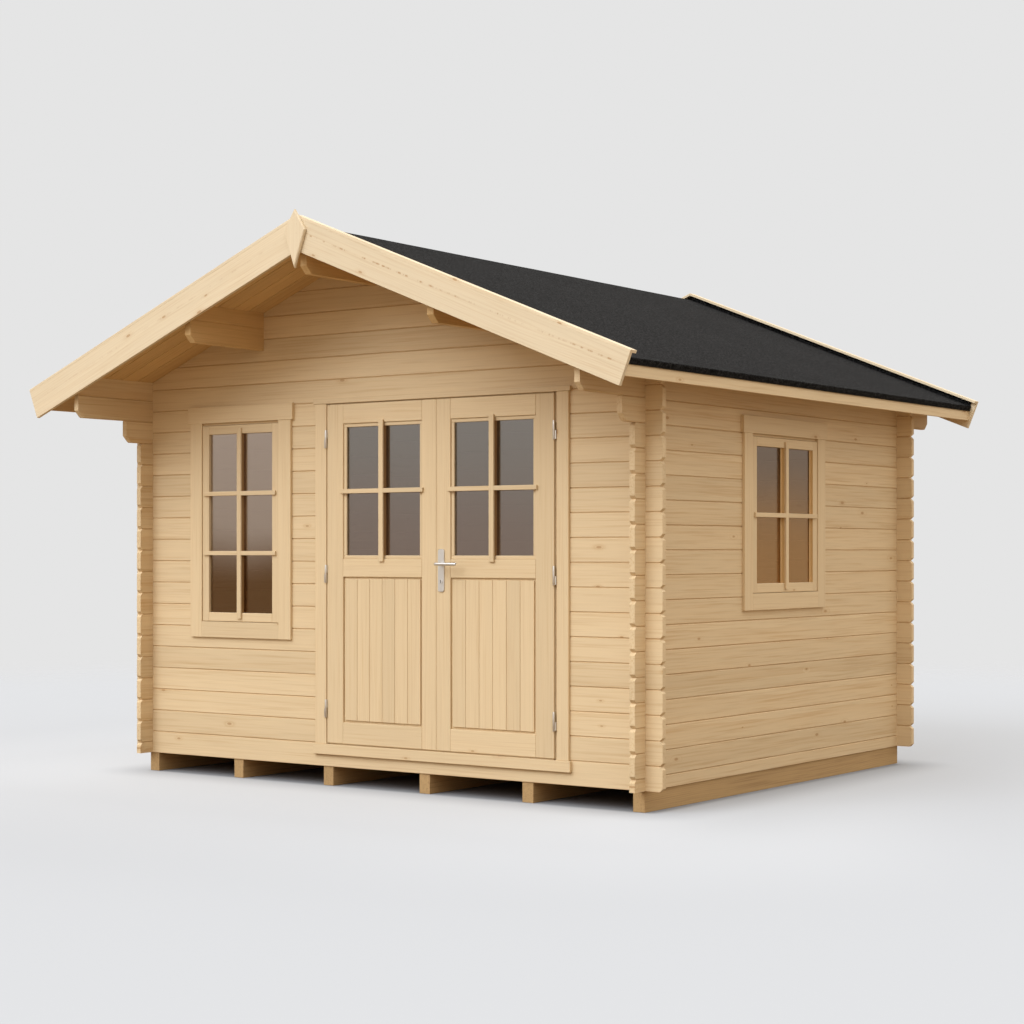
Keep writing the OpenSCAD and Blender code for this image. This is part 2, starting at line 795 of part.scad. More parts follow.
// The spindle with a grip at each end, both pointing to the hinges
module door_lever() {
    outer = frame_front - lever_reach;
    inner = leaf_back + lever_reach;
    color(steel) at_door(1) {
        lever_rod(lever_r, outer, inner);
        for (y = [outer, inner]) translate([lever_x, y, lever_level]) {
            sphere(lever_r);
            rotate([0, 90, 0]) cylinder(h = lever_len, r = lever_r);
            translate([lever_len, 0, 0]) sphere(lever_r);
        }
    }
}

bearers();
floor_boards();
front_wall_left();
front_wall_window_sill();
front_wall_over_window();
front_wall_middle();
front_wall_right();
front_wall_threshold();
front_gable();
rear_wall();
rear_gable();
left_wall();
left_wall_plate();
right_wall_front();
right_wall_rear();
right_wall_window_sill();
right_wall_plate();
ridge_purlin();
left_purlin();
right_purlin();
left_roof_boards();
right_roof_boards();
left_felt();
right_felt();
left_eave_board();
right_eave_board();
front_left_bargeboard();
front_right_bargeboard();
rear_left_bargeboard();
rear_right_bargeboard();
finial();
front_window_frame();
front_window_sash();
front_window_glass();
side_window_frame();
side_window_sash();
side_window_glass();
door_left_jamb();
door_right_jamb();
door_head();
door_sill();
hinge_pins();
left_door_leaf();
left_door_glass();
left_hinge_knuckles();
right_door_leaf();
right_door_glass();
right_hinge_knuckles();
handle_plates();
door_lever();
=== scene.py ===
# %% [markdown]
# # A garden chalet of interlocking logs
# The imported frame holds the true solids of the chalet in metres, each one in its place. This lesson
# dresses them: the log walls keep their solids and get a grain, and whatever is made of single boards,
# such as the doors, casings, roof and bargeboards, is laid again board by board, so that every joint
# shows as it does on the real one.

# %% Load the frame
import json
import math

import bpy
import numpy as np
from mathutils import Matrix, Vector


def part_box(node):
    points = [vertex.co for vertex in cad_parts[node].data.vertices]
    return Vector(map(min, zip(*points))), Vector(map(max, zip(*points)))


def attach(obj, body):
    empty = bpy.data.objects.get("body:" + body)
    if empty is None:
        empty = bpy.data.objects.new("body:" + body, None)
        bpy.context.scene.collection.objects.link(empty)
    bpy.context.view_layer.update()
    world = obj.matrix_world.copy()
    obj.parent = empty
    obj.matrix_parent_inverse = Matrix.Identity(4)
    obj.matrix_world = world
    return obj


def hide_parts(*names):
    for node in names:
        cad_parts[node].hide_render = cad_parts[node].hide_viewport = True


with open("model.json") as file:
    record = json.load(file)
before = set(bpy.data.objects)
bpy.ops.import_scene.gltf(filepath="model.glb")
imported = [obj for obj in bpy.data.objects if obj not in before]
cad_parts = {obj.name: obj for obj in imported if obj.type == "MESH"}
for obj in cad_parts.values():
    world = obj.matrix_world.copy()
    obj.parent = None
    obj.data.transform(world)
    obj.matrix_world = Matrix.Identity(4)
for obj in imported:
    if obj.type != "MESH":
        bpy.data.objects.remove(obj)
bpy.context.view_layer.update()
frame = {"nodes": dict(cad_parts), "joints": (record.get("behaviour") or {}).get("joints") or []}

GRAIN_SEED = 28
scene = bpy.context.scene
nodes = frame["nodes"]
rng = np.random.default_rng(GRAIN_SEED)

# %% [markdown]
# ## The viewpoint
# The photo was taken level, from about 1.2 m up and off to the right, with a long lens. A level camera
# keeps the corners of the building upright. The small vertical shift moves the picture up without
# tilting it.

# %% Camera
VIEW_YAW = 35.49
VIEW_PLACE = (6.418, -9.0835, 1.176)
VIEW_LENS = 72.06
VIEW_SENSOR = 36.0
VIEW_SHIFT = 0.0382

camera_data = bpy.data.cameras.new("photo_view")
camera_data.lens = VIEW_LENS
camera_data.sensor_width = VIEW_SENSOR
camera_data.shift_y = VIEW_SHIFT
camera = bpy.data.objects.new("photo_view", camera_data)
camera.location = VIEW_PLACE
camera.rotation_euler = (math.radians(90), 0.0, math.radians(VIEW_YAW))
scene.collection.objects.link(camera)
scene.camera = camera
scene.view_settings.view_transform = "Standard"
print("camera at", VIEW_PLACE, "yaw", VIEW_YAW)

# %% [markdown]
# ## Wiring a finish
# Every finish is a small network of texture nodes in front of one shader. Placing nodes one by one is
# slow to read, so a helper adds a node and wires its inputs in one call. A number goes straight onto the
# socket, and a socket of another node becomes a link.

# %% A helper for finishes
class Finish:
    """Short calls for the nodes of a material or of the surround. shader is the node that they lead to."""

    def __init__(self, owner, shader="Principled BSDF"):
        owner.use_nodes = True
        self.owner = owner
        self.tree = owner.node_tree
        self.shader = self.tree.nodes[shader]

    def wire(self, socket, value):
        """Links a socket, or sets it where the value is a plain number, vector or colour."""
        if isinstance(value, bpy.types.NodeSocket):
            self.tree.links.new(value, socket)
        else:
            socket.default_value = value

    def feed(self, name, value):
        """Wires one of the shader's own inputs."""
        self.wire(self.shader.inputs[name], value)

    def node(self, kind, *values, **settings):
        """Adds a node, sets its options and wires its first inputs in order."""
        made = self.tree.nodes.new("ShaderNode" + kind)
        for option, value in settings.items():
            setattr(made, option, value)
        for socket, value in zip(made.inputs, values):
            self.wire(socket, value)
        return made

    def sum(self, operation, *values):
        """One Math node."""
        return self.node("Math", *values, operation=operation).outputs[0]

    def times(self, first, second):
        return self.sum("MULTIPLY", first, second)

    def ramp(self, value, slope, offset):
        """value * slope + offset."""
        return self.sum("MULTIPLY_ADD", value, slope, offset)

    def places(self):
        """Object coordinates."""
        return self.node("TexCoord").outputs["Object"]

    def axes(self, vector):
        """The three numbers of a vector."""
        return self.node("SeparateXYZ", vector).outputs

    def stretched(self, values, stretch):
        """A vector of values, each times its own number; 1 leaves a value as it is."""
        parts = [v if by == 1 else self.times(v, by) for v, by in zip(values, stretch)]
        return self.node("CombineXYZ", *parts).outputs[0]

    def noise(self, vector, scale=1.0, detail=2.0, roughness=0.5):
        made = self.node("TexNoise")
        inputs = {"Vector": vector, "Scale": scale, "Detail": detail, "Roughness": roughness}
        for name, value in inputs.items():
            self.wire(made.inputs[name], value)
        return made.outputs[0]

    def ease(self, value, low, high, start=0.0, end=1.0):
        """Maps low..high to start..end along a smooth S-curve, and holds it beyond."""
        made = self.node("MapRange", value, low, high, start, end, interpolation_type="SMOOTHSTEP")
        return made.outputs[0]

    def mix(self, share, first, second):
        """Blends two colours."""
        made = self.node("Mix", data_type="RGBA")
        for index, value in ((0, share), (6, first), (7, second)):
            self.wire(made.inputs[index], value)
        return made.outputs[2]

    def scaled(self, colour, factor):
        """Brightens or darkens a colour by a factor."""
        made = self.node("VectorMath", colour, operation="SCALE")
        self.wire(made.inputs["Scale"], factor)
        return made.outputs[0]

    def surface(self, colour, roughness, height, depth, strength):
        """Wires colour, roughness and a bump of that depth in metres into the shader."""
        bump = self.node("Bump")
        for name, value in (("Strength", strength), ("Distance", depth), ("Height", height)):
            self.wire(bump.inputs[name], value)
        for name, value in (("Base Color", colour), ("Roughness", roughness), ("Normal", bump.outputs[0])):
            self.feed(name, value)


print("finish helper ready")

# %% [markdown]
# ## Pine
# The chalet is planed, unpainted spruce or pine: pale honey wood with faint lines of late growth along
# the board, slow changes of tone, and here and there a small brown knot. A picture of wood would repeat
# and would not follow the end grain. So the grain is worked out in the wood's own directions, along,
# across and through the piece: the late growth is the distance from a wandering heart line, which gives
# straight lines on the face and arcs on the end.

# %% Grain directions
def solid_grain(finish, along, across, pitch, base):
    """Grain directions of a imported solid, from its Object coordinates. along and across are axis numbers.
    The solid counts as pieces of that pitch on the across axis, the first from base, each with a seed."""
    axes = finish.axes(finish.places())
    count = finish.sum("DIVIDE", finish.sum("SUBTRACT", axes[across], base), pitch)
    number = finish.sum("FLOOR", count)
    middle = finish.sum("SUBTRACT", finish.sum("SUBTRACT", count, number), 0.5)
    hashed = finish.node("TexWhiteNoise", noise_dimensions="1D")
    finish.wire(hashed.inputs["W"], number)
    through = 3 - along - across
    return axes[along], finish.times(middle, pitch), axes[through], hashed.outputs["Value"]


def board_grain(finish):
    """Grain directions that boards carry in their own mesh, as the attributes grain and seed."""
    grain = finish.node("Attribute", attribute_name="grain")
    seed = finish.node("Attribute", attribute_name="seed")
    return (*finish.axes(grain.outputs["Vector"]), seed.outputs["Fac"])


print("grain of solids and of boards ready")

# %% [markdown]
# ## The pine finish
# Its values come first. A stretch is how often a pattern changes in a metre along, across and through the
# board, an edge is where a smooth step begins and ends, and a share is how far the darker colour shows.

# %% Values of the pine finish
SEED_SHIFT = (61.0, 7.3)
KNOT_STRETCH = (3.6, 9.0, 1)
KNOT_LEAST, KNOT_SPREAD = 0.026, 0.040
KNOT_EDGE, KNOT_SHARE = (1.15, 0.75), 0.60
HALO_EDGE, HALO_SHARE, HALO_RINGS = (4.0, 0.6), 0.20, 0.9
WANDER_STRETCH = (0.8, 2.0, 1)
HEART_WANDER, HEART_SHIFT, HEART_DEPTH = 0.11, 0.16, 0.06
RING_STEP = 0.0075
LATE_POWER, LATE_RELIEF = 3.0, 0.5
LATE_SHARE_LEAST, LATE_SHARE_MOST = 0.08, 0.30
FIBRE_STRETCH, FIBRE_TONE = (5.0, 210.0, 210.0), 0.13
PATCH_STRETCH, PATCH_EDGE, PATCH_TONE = (1.4, 11.0, 11.0), (0.25, 0.75), 0.13
STREAK_STRETCH, STREAK_EDGE, STREAK_TONE = (2.2, 96.0, 96.0), (0.46, 0.76), -0.08
STREAK_SHARE = 0.34
JOINT_EDGE, JOINT_SHARE = (0.0045, 0.0005), 0.40
PITH_STRETCH, PITH_WANDER = (34.0, 1, 1), 0.014
PITH_EDGE, PITH_SHARE, PITH_MARK_EDGE = (0.0060, 0.0010), 0.80, (0.47, 0.66)
PITH_BY_SEED = (0.30, 0.58, 1.0, 0.25)
ROUGHNESS_SPREAD = 0.14
KNOT_BROWN = (0.40, 0.205, 0.078, 1.0)
# The joint colour is dust and painted shade in the grooves between the logs.
JOINT_DUST_AND_SHADE = (0.42, 0.225, 0.082, 1.0)
print("late growth every", RING_STEP, "m")


# %% Pine finish
def pine(name, grain, pale, deep, knot_share=0.12, contrast=1.0, tone_spread=0.10, roughness=0.58,
         jointed=False, pith=None):
    """Planed pine. grain holds a solid's grain directions, or None for boards. Late growth = fraction of
    (distance from the heart line / ring step), eased into thin dark lines; knots are cells scattered
    along and across the board, of which knot_share show. A jointed solid is darker where its pieces meet.
    A board sawn through the heart shows its pith as a broken brown line, pith metres from its middle, and
    more clearly the lower its seed is."""
    wood = Finish(bpy.data.materials.new(name))
    along, across, through, seed = solid_grain(wood, *grain) if grain else board_grain(wood)
    run = wood.ramp(seed, SEED_SHIFT[0], along)
    lane = wood.ramp(seed, SEED_SHIFT[1], across)

    cells = wood.node("TexVoronoi", voronoi_dimensions="2D")
    wood.wire(cells.inputs["Vector"], wood.stretched((run, lane, 0.0), KNOT_STRETCH))
    wood.wire(cells.inputs["Scale"], 1.0)
    draw = wood.axes(cells.outputs["Color"])
    shown = wood.sum("LESS_THAN", draw[0], knot_share)
    size = wood.ramp(draw[1], KNOT_SPREAD, KNOT_LEAST)
    reach = wood.sum("DIVIDE", cells.outputs["Distance"], size)
    knot = wood.times(wood.ease(reach, *KNOT_EDGE), shown)
    halo = wood.times(wood.ease(reach, *HALO_EDGE), shown)

    wander = wood.noise(wood.stretched((run, lane, seed), WANDER_STRETCH))
    heart = wood.ramp(wood.sum("SUBTRACT", wander, 0.5), HEART_WANDER, across)
    heart = wood.sum("ADD", heart, wood.ramp(seed, HEART_SHIFT, -HEART_SHIFT / 2))
    depth = wood.sum("ADD", through, HEART_DEPTH)
    radius = wood.sum("SQRT", wood.sum("ADD", wood.times(heart, heart), wood.times(depth, depth)))
    growth = wood.ramp(halo, HALO_RINGS, wood.sum("DIVIDE", radius, RING_STEP))
    late = wood.sum("POWER", wood.sum("FRACT", growth), LATE_POWER)

    place = (run, lane, through)
    fibre = wood.noise(wood.stretched(place, FIBRE_STRETCH), detail=3.0)
    patch = wood.noise(wood.stretched(place, PATCH_STRETCH))
    streak = wood.noise(wood.stretched(place, STREAK_STRETCH), roughness=0.6)

    late_share = wood.ease(patch, *PATCH_EDGE, LATE_SHARE_LEAST * contrast, LATE_SHARE_MOST * contrast)
    streak_share = wood.ease(streak, *STREAK_EDGE, 0.0, STREAK_SHARE * contrast)
    lines = wood.sum("ADD", wood.times(late, late_share), streak_share)
    colour = wood.mix(wood.ramp(halo, HALO_SHARE, lines), pale, deep)
    colour = wood.mix(wood.times(knot, KNOT_SHARE), colour, KNOT_BROWN)
    # Dust and painted shade: the logs turn brown where they meet, along the grooves.
    if jointed:
        pitch = grain[2]
        gap = wood.sum("SUBTRACT", pitch / 2, wood.sum("ABSOLUTE", across))
        colour = wood.mix(wood.ease(gap, *JOINT_EDGE, 0.0, JOINT_SHARE), colour, JOINT_DUST_AND_SHADE)
    if pith:
        marks = wood.noise(wood.stretched((run, seed, 0.0), PITH_STRETCH), detail=4.0, roughness=0.7)
        line = wood.ramp(wander, PITH_WANDER, wood.sum("SUBTRACT", across, pith + PITH_WANDER / 2))
        line = wood.ease(wood.sum("ABSOLUTE", line), *PITH_EDGE, 0.0, PITH_SHARE)
        line = wood.times(line, wood.ease(seed, *PITH_BY_SEED))
        colour = wood.mix(wood.times(line, wood.ease(marks, *PITH_MARK_EDGE)), colour, KNOT_BROWN)
    tone = wood.ramp(seed, tone_spread, 1.0 - tone_spread / 2)
    for value, spread in ((patch, PATCH_TONE), (fibre, FIBRE_TONE), (streak, STREAK_TONE)):
        tone = wood.sum("ADD", tone, wood.ramp(value, spread * contrast, -spread / 2 * contrast))

    rough = wood.ramp(fibre, ROUGHNESS_SPREAD, roughness - ROUGHNESS_SPREAD / 2)
    relief = wood.ramp(late, LATE_RELIEF, fibre)
    wood.surface(wood.scaled(colour, tone), rough, relief, depth=0.0012, strength=0.20)
    wood.feed("Specular IOR Level", 0.30)
    return wood.owner


# %% Pine finishes
PINE_PALE = (0.718, 0.561, 0.350, 1.0)
PINE_DEEP = (0.530, 0.325, 0.138, 1.0)
BARGE_PALE = (0.740, 0.622, 0.440, 1.0)
ROOF_PALE = (0.675, 0.458, 0.215, 1.0)
# Dark spacer colours: painted shade behind the glazing bars.
SPACER_SHADE_PALE = (0.360, 0.200, 0.080, 1.0)
SPACER_SHADE_DEEP = (0.240, 0.130, 0.050, 1.0)
BEARER_PALE = (0.470, 0.312, 0.148, 1.0)
BEARER_DEEP = (0.330, 0.200, 0.090, 1.0)

# Each grain is the axis along the wood, the axis across it, the pitch of the pieces and their base.
X_AXIS, Y_AXIS, Z_AXIS = 0, 1, 2
LOG_H = 0.114
wall_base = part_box("front_wall_left")[0].z
END_LOGS = (X_AXIS, Z_AXIS, LOG_H, wall_base)
SIDE_LOGS = (Y_AXIS, Z_AXIS, LOG_H, wall_base - LOG_H / 2)
PURLINS = (Y_AXIS, X_AXIS, 0.4, -1.0)
EAVES = (Y_AXIS, Z_AXIS, 0.4, 1.7)
BEARERS = (Y_AXIS, X_AXIS, 0.3, -1.65)

end_log_pine = pine("end_log_pine", END_LOGS, PINE_PALE, PINE_DEEP, contrast=0.9, jointed=True)
side_log_pine = pine("side_log_pine", SIDE_LOGS, PINE_PALE, PINE_DEEP, knot_share=0.16, contrast=1.15,
                     jointed=True)
purlin_pine = pine("purlin_pine", PURLINS, ROOF_PALE, PINE_DEEP, contrast=1.2)
eave_pine = pine("eave_pine", EAVES, PINE_PALE, PINE_DEEP, knot_share=0.30, contrast=0.9)
bearer_timber = pine("bearer_timber", BEARERS, BEARER_PALE, BEARER_DEEP, contrast=1.6, roughness=0.8)
joinery_pine = pine("joinery_pine", None, PINE_PALE, PINE_DEEP, knot_share=0.03, contrast=0.6)
spacer_pine = pine("spacer_pine", None, SPACER_SHADE_PALE, SPACER_SHADE_DEEP, knot_share=0.0)
barge_pine = pine("barge_pine", None, BARGE_PALE, PINE_DEEP, knot_share=0.30, contrast=0.75, pith=0.016)
roof_pine = pine("roof_pine", None, ROOF_PALE, PINE_DEEP, contrast=1.4, tone_spread=0.22)
floor_pine = pine("floor_pine", None, ROOF_PALE, PINE_DEEP)
print("pine finishes:", sum(m.name.endswith(("pine", "timber")) for m in bpy.data.materials))

# %% [markdown]
# ## Felt, glass and steel
# The roof is covered with mineral felt: bitumen sheet with crushed slate rolled into it, so it is almost
# black, matt and grainy. The panes are double glass: by day they mirror the bright surround more than
# they show the dim room, so each one is a half mirror that lets the rest of the light through. The colour
# of a pane is a painted reflection of the surround and of the room behind, changing from its foot to its
# head. Hinges and handle are satin steel with fine brushing.

# %% Felt, glass and steel finishes
BITUMEN = (0.003, 0.003, 0.0031, 1.0)
SLATE = (0.046, 0.046, 0.048, 1.0)
PANE_WAVE = 0.16
BRUSH_STRETCH = (900.0, 900.0, 30.0)


def granule_felt(name):
    """Mineral felt: a fine speckle of slate granules over slow patches of wear."""
    felt = Finish(bpy.data.materials.new(name))
    places = felt.places()
    granules = felt.noise(places, scale=95.0, detail=5.0, roughness=0.8)
    wear = felt.noise(places, scale=2.2, detail=3.0)
    colour = felt.mix(felt.ease(granules, 0.42, 0.70), BITUMEN, SLATE)
    colour = felt.scaled(colour, felt.ramp(wear, 0.30, 0.85))
    felt.surface(colour, roughness=0.92, height=granules, depth=0.002, strength=0.35)
    felt.feed("Specular IOR Level", 0.05)
    return felt.owner


def pane_glass(name, turn, low, high):
    """A half mirror whose colour is a painted reflection. Between the two heights of turn, its colour and
    share of mirror go from low to high.
    """
    glass = Finish(bpy.data.materials.new(name))
    places = glass.places()
    waves = glass.noise(places, scale=1.6, detail=1.0)
    height = glass.ramp(waves, PANE_WAVE, glass.axes(places)[2])
    level = glass.ease(height, turn[0] + PANE_WAVE / 2, turn[1] + PANE_WAVE / 2)
    painted_reflection_tint = glass.mix(level, low[0], high[0])
    glass.surface(painted_reflection_tint, roughness=0.04, height=waves, depth=0.0004, strength=0.05)
    glass.feed("Metallic", 1.0)
    gain = high[1] - low[1]
    glass.feed("Alpha", glass.ramp(level, gain, low[1]) if gain else low[1])
    return glass.owner


def satin_steel(name, dull, bright):
    """Brushed steel: grey metal with fine upright scratches in its gloss."""
    steel = Finish(bpy.data.materials.new(name))
    brushing = steel.noise(steel.stretched(steel.axes(steel.places()), BRUSH_STRETCH))
    colour = steel.mix(brushing, dull, bright)
    steel.surface(colour, steel.ramp(brushing, 0.20, 0.30), brushing, depth=0.0003, strength=0.10)
    steel.feed("Metallic", 1.0)
    return steel.owner


slate_felt = granule_felt("slate_felt")
front_glass = pane_glass("front_glass", (1.00, 1.34),
                         ((0.30, 0.18, 0.095, 1.0), 0.45), ((0.71, 0.65, 0.64, 1.0), 0.55))
door_glass = pane_glass("door_glass", (1.15, 1.75),
                        ((0.47, 0.43, 0.45, 1.0), 0.55), ((0.44, 0.46, 0.50, 1.0), 0.55))
side_glass = pane_glass("side_glass", (1.10, 1.72),
                        ((0.72, 0.46, 0.23, 1.0), 0.46), ((0.35, 0.30, 0.275, 1.0), 0.52))
handle_steel = satin_steel("handle_steel", (0.69, 0.695, 0.70, 1.0), (0.85, 0.855, 0.86, 1.0))
hinge_steel = satin_steel("hinge_steel", (0.60, 0.57, 0.53, 1.0), (0.78, 0.75, 0.71, 1.0))
print("felt, glass and steel ready")

# %% [markdown]
# ## The log walls, purlins and bearers
# These solids are already right: notched logs with a groove at every joint, so they keep their meshes and
# only take a finish, and so do the panes. The seed of each log comes from its level, so a log has one
# grain over its whole length even where a window parts it. Purlins and bearers get a fine bevel, because
# no sawn edge is knife sharp.

# %% Finish the solids
SAWN_EDGE = 0.002
WELD_REACH = 0.00001


def dress(finish, *names):
    """Gives solids a finish in place of the one they were packed with."""
    for name in names:
        nodes[name].data.materials.clear()
        nodes[name].data.materials.append(finish)


def ease_edges(width, *names):
    """Merges a solid's loose triangles and bevels its edges by a width in metres."""
    for name in names:
        weld = nodes[name].modifiers.new("weld", "WELD")
        weld.merge_threshold = WELD_REACH
        bevel = nodes[name].modifiers.new("eased_edges", "BEVEL")
        bevel.width = width
        bevel.segments = 2
        bevel.limit_method = "ANGLE"


dress(end_log_pine, "front_wall_left", "front_wall_window_sill", "front_wall_over_window",
      "front_wall_middle", "front_wall_right", "front_wall_threshold", "front_gable", "rear_wall",
      "rear_gable")
dress(side_log_pine, "left_wall", "left_wall_plate", "right_wall_front", "right_wall_rear",
      "right_wall_window_sill", "right_wall_plate")
dress(purlin_pine, "ridge_purlin", "left_purlin", "right_purlin")
dress(eave_pine, "left_eave_board", "right_eave_board")
dress(bearer_timber, "bearers")
dress(front_glass, "front_window_glass")
dress(side_glass, "side_window_glass")
dress(door_glass, "left_door_glass", "right_door_glass")
ease_edges(SAWN_EDGE, "ridge_purlin", "left_purlin", "right_purlin", "bearers")
print("solids with their own finish:", sum(bool(o.data.materials) for o in nodes.values()))

# %% [markdown]
# ## Boards, many at once
# Nearly everything else on the chalet is a straight board with eased edges. A cube with a Bevel modifier
# would do for one, but there are hundreds, so one function lays any number of them as whole arrays: the
# profile is a rounded rectangle, and four stations carry it along the board, the outer two drawn in so
# that the ends are eased as well. Each board also writes its own grain directions and a seed into the
# mesh, which is how the pine finish follows it.

# %% Boards
EASED_EDGE = 0.0015
END_EASE = 0.6
OUTER_STATIONS = np.array([1.0, 0.0, 0.0, 1.0])
FIRST_STATIONS = np.array([1.0, 1.0, 0.0, 0.0])
CORNERS = np.array([[1, 1], [-1, 1], [-1, -1], [1, -1]], float)
RIGHTWARD, BACKWARD, UPWARD = np.eye(3)


def corner_arcs(steps):
    """Unit vectors (cos a, sin a) of a quarter circle at each corner of a rectangle."""
    angle = np.radians(np.arange(4)[:, None] * 90.0 + np.linspace(0, 90, steps))
    return np.stack([np.cos(angle), np.sin(angle)], -1)


def closed_tubes(points, grain, seed):
    """The surface of tubes with closed ends. points and grain are ordered by tube, by ring along it and by
    step round it, and seed has a number for each tube."""
    tubes, rings, steps = points.shape[:3]
    index = np.arange(tubes * rings * steps).reshape(tubes, rings, steps)
    turned = np.roll(index, -1, 2)
    sides = np.stack([index[:, :-1], turned[:, :-1], turned[:, 1:], index[:, 1:]], -1).reshape(-1, 4)
    ends = np.concatenate([index[:, 0, ::-1], index[:, -1]])
    return {
        "points": points.reshape(-1, 3),
        "faces": sides.tolist() + ends.tolist(),
        "grain": grain.reshape(-1, 3),
        "seed": np.repeat(seed, rings * steps),
    }


def planks(start, along, across, size, edge=EASED_EDGE, skew=0.0):
    """Straight boards. start is the middle of each first end, size its length, width and thickness.
    point = start + along * (s + skew * w) + across * w + through * t, where w and t walk round a rectangle
    whose corners are arcs of radius edge, s takes four stations, and skew cuts the first end on a slant."""
    rows = [np.atleast_2d(np.asarray(v, float)) for v in (start, along, across, size)]
    count = max(len(v) for v in rows)
    start, along, across, size = (np.broadcast_to(v, (count, 3)) for v in rows)
    through = np.cross(along, across)

    half = size[:, None, 1:] / 2 - edge - END_EASE * edge * OUTER_STATIONS[None, :, None]
    profile = half[:, :, None, None, :] * CORNERS[:, None, :] + edge * corner_arcs(3)
    profile = profile.reshape(count, 4, 12, 2)
    w, t = profile[..., 0], profile[..., 1]
    length = size[:, 0, None]
    ease = END_EASE * edge
    station = np.concatenate([0 * length, 0 * length + ease, length - ease, length], 1)
    s = station[:, :, None] + skew * w * FIRST_STATIONS[:, None]

    points = start[:, None, None] + s[..., None] * along[:, None, None]
    points = points + w[..., None] * across[:, None, None] + t[..., None] * through[:, None, None]
    return closed_tubes(points, np.stack([s, w, t], -1), rng.random(count))


def add_piece(name, surfaces, finish, body, slot, *replaced, smooth_under=None):
    """Joins surfaces into one mesh at the origin, rides it on a body and says which solids it replaces."""
    joined = {key: np.concatenate([s[key] for s in surfaces]) for key in ("points", "grain", "seed")}
    shifts = np.cumsum([0] + [len(s["points"]) for s in surfaces]).tolist()
    faces = [[i + shift for i in face] for s, shift in zip(surfaces, shifts) for face in s["faces"]]
    mesh = bpy.data.meshes.new(name)
    mesh.from_pydata(joined["points"].tolist(), [], faces)
    grain = mesh.attributes.new("grain", "FLOAT_VECTOR", "POINT")
    grain.data.foreach_set("vector", joined["grain"].ravel().astype(np.float32))
    seed = mesh.attributes.new("seed", "FLOAT", "POINT")
    seed.data.foreach_set("value", joined["seed"].astype(np.float32))
    if smooth_under is not None:
        mesh.shade_smooth()
        mesh.set_sharp_from_angle(angle=math.radians(smooth_under))
    mesh.materials.append(finish)
    piece = bpy.data.objects.new(name, mesh)
    scene.collection.objects.link(piece)
    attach(piece, body)
    if replaced:
        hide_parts(*replaced)
    print(name, "faces:", len(mesh.polygons))


# %% [markdown]
# ## Sticks in a wall
# Casings, sashes, doors and their frames are all upright or level sticks in a wall. They are easiest to
# set out as a joiner does, on the wall's own directions: right along the wall, out of it, and up. Two
# small tables of directions turn that into the frame's axes, one for the front wall and one for the
# right-hand wall.

# %% Wall directions
FRONT = np.array([[1.0, 0.0, 0.0], [0.0, -1.0, 0.0], [0.0, 0.0, 1.0]])
SIDE = np.array([[0.0, 1.0, 0.0], [1.0, 0.0, 0.0], [0.0, 0.0, 1.0]])
HANDS = (("left", -1), ("right", 1))


def node_box(node):
    """A solid's lowest and highest corners as two rows."""
    return np.array([list(corner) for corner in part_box(node)])


def wall_box(wall, node):
    """A solid's box as right, out and up: its lowest and highest values."""
    ends = node_box(node) @ wall.T
    return ends.min(0), ends.max(0)


def sticks(wall, boxes, edge=EASED_EDGE):
    """Sticks given as (left, right, back, face, foot, head) on a wall's directions; each has its grain
    along its longer side."""
    boxes = np.array(boxes)
    low, high = boxes[:, 0::2], boxes[:, 1::2]
    size = high - low
    upright = (size[:, 2] > size[:, 0])[:, None]
    along = np.where(upright, UPWARD, RIGHTWARD)
    across = np.where(upright, RIGHTWARD, UPWARD)
    length = (size * along).sum(1)
    width = (size * across).sum(1)
    start = (low + high) / 2 - along * length[:, None] / 2
    size = np.stack([length, width, size[:, 1]], 1)
    return planks(start @ wall, along @ wall, across @ wall, size, edge)


def ring(left, right, foot, head, rim, back, face):
    """Four sticks round an opening, the uprights between the level ones."""
    return [
        (left, left + rim, back, face, foot + rim, head - rim),
        (right - rim, right, back, face, foot + rim, head - rim),
        (left, right, back, face, head - rim, head),
        (left, right, back, face, foot, foot + rim),
    ]


print("front wall's left part:", np.round(wall_box(FRONT, "front_wall_left"), 3).tolist())

# %% [markdown]
# ## The windows
# Each window has flat casings outside and inside, with a longer head casing that laps over the sides, a
# lining in the thickness of the logs, and a sash of two stiles and two rails. The glazing bars are
# planted strips: an upright one that runs through, with level ones butting against it, standing proud of
# the sash and lapping onto it.

# %% Window boards
CASING_W = 0.084
CASING_T = 0.015
CASING_EDGE = 0.001
HEAD_LIP = 0.004
WALL_T = 0.028
SASH_GAP = 0.002
SASH_W = 0.046
SASH_EDGE = 0.0032
STOP_W = 0.014
BAR_W = 0.028
LEVEL_BAR_W = 0.022
BAR_PROUD = 0.011
BAR_LAP = 0.030
SPACER_EDGE = 0.0006
SHADE_SKIN = 0.0015


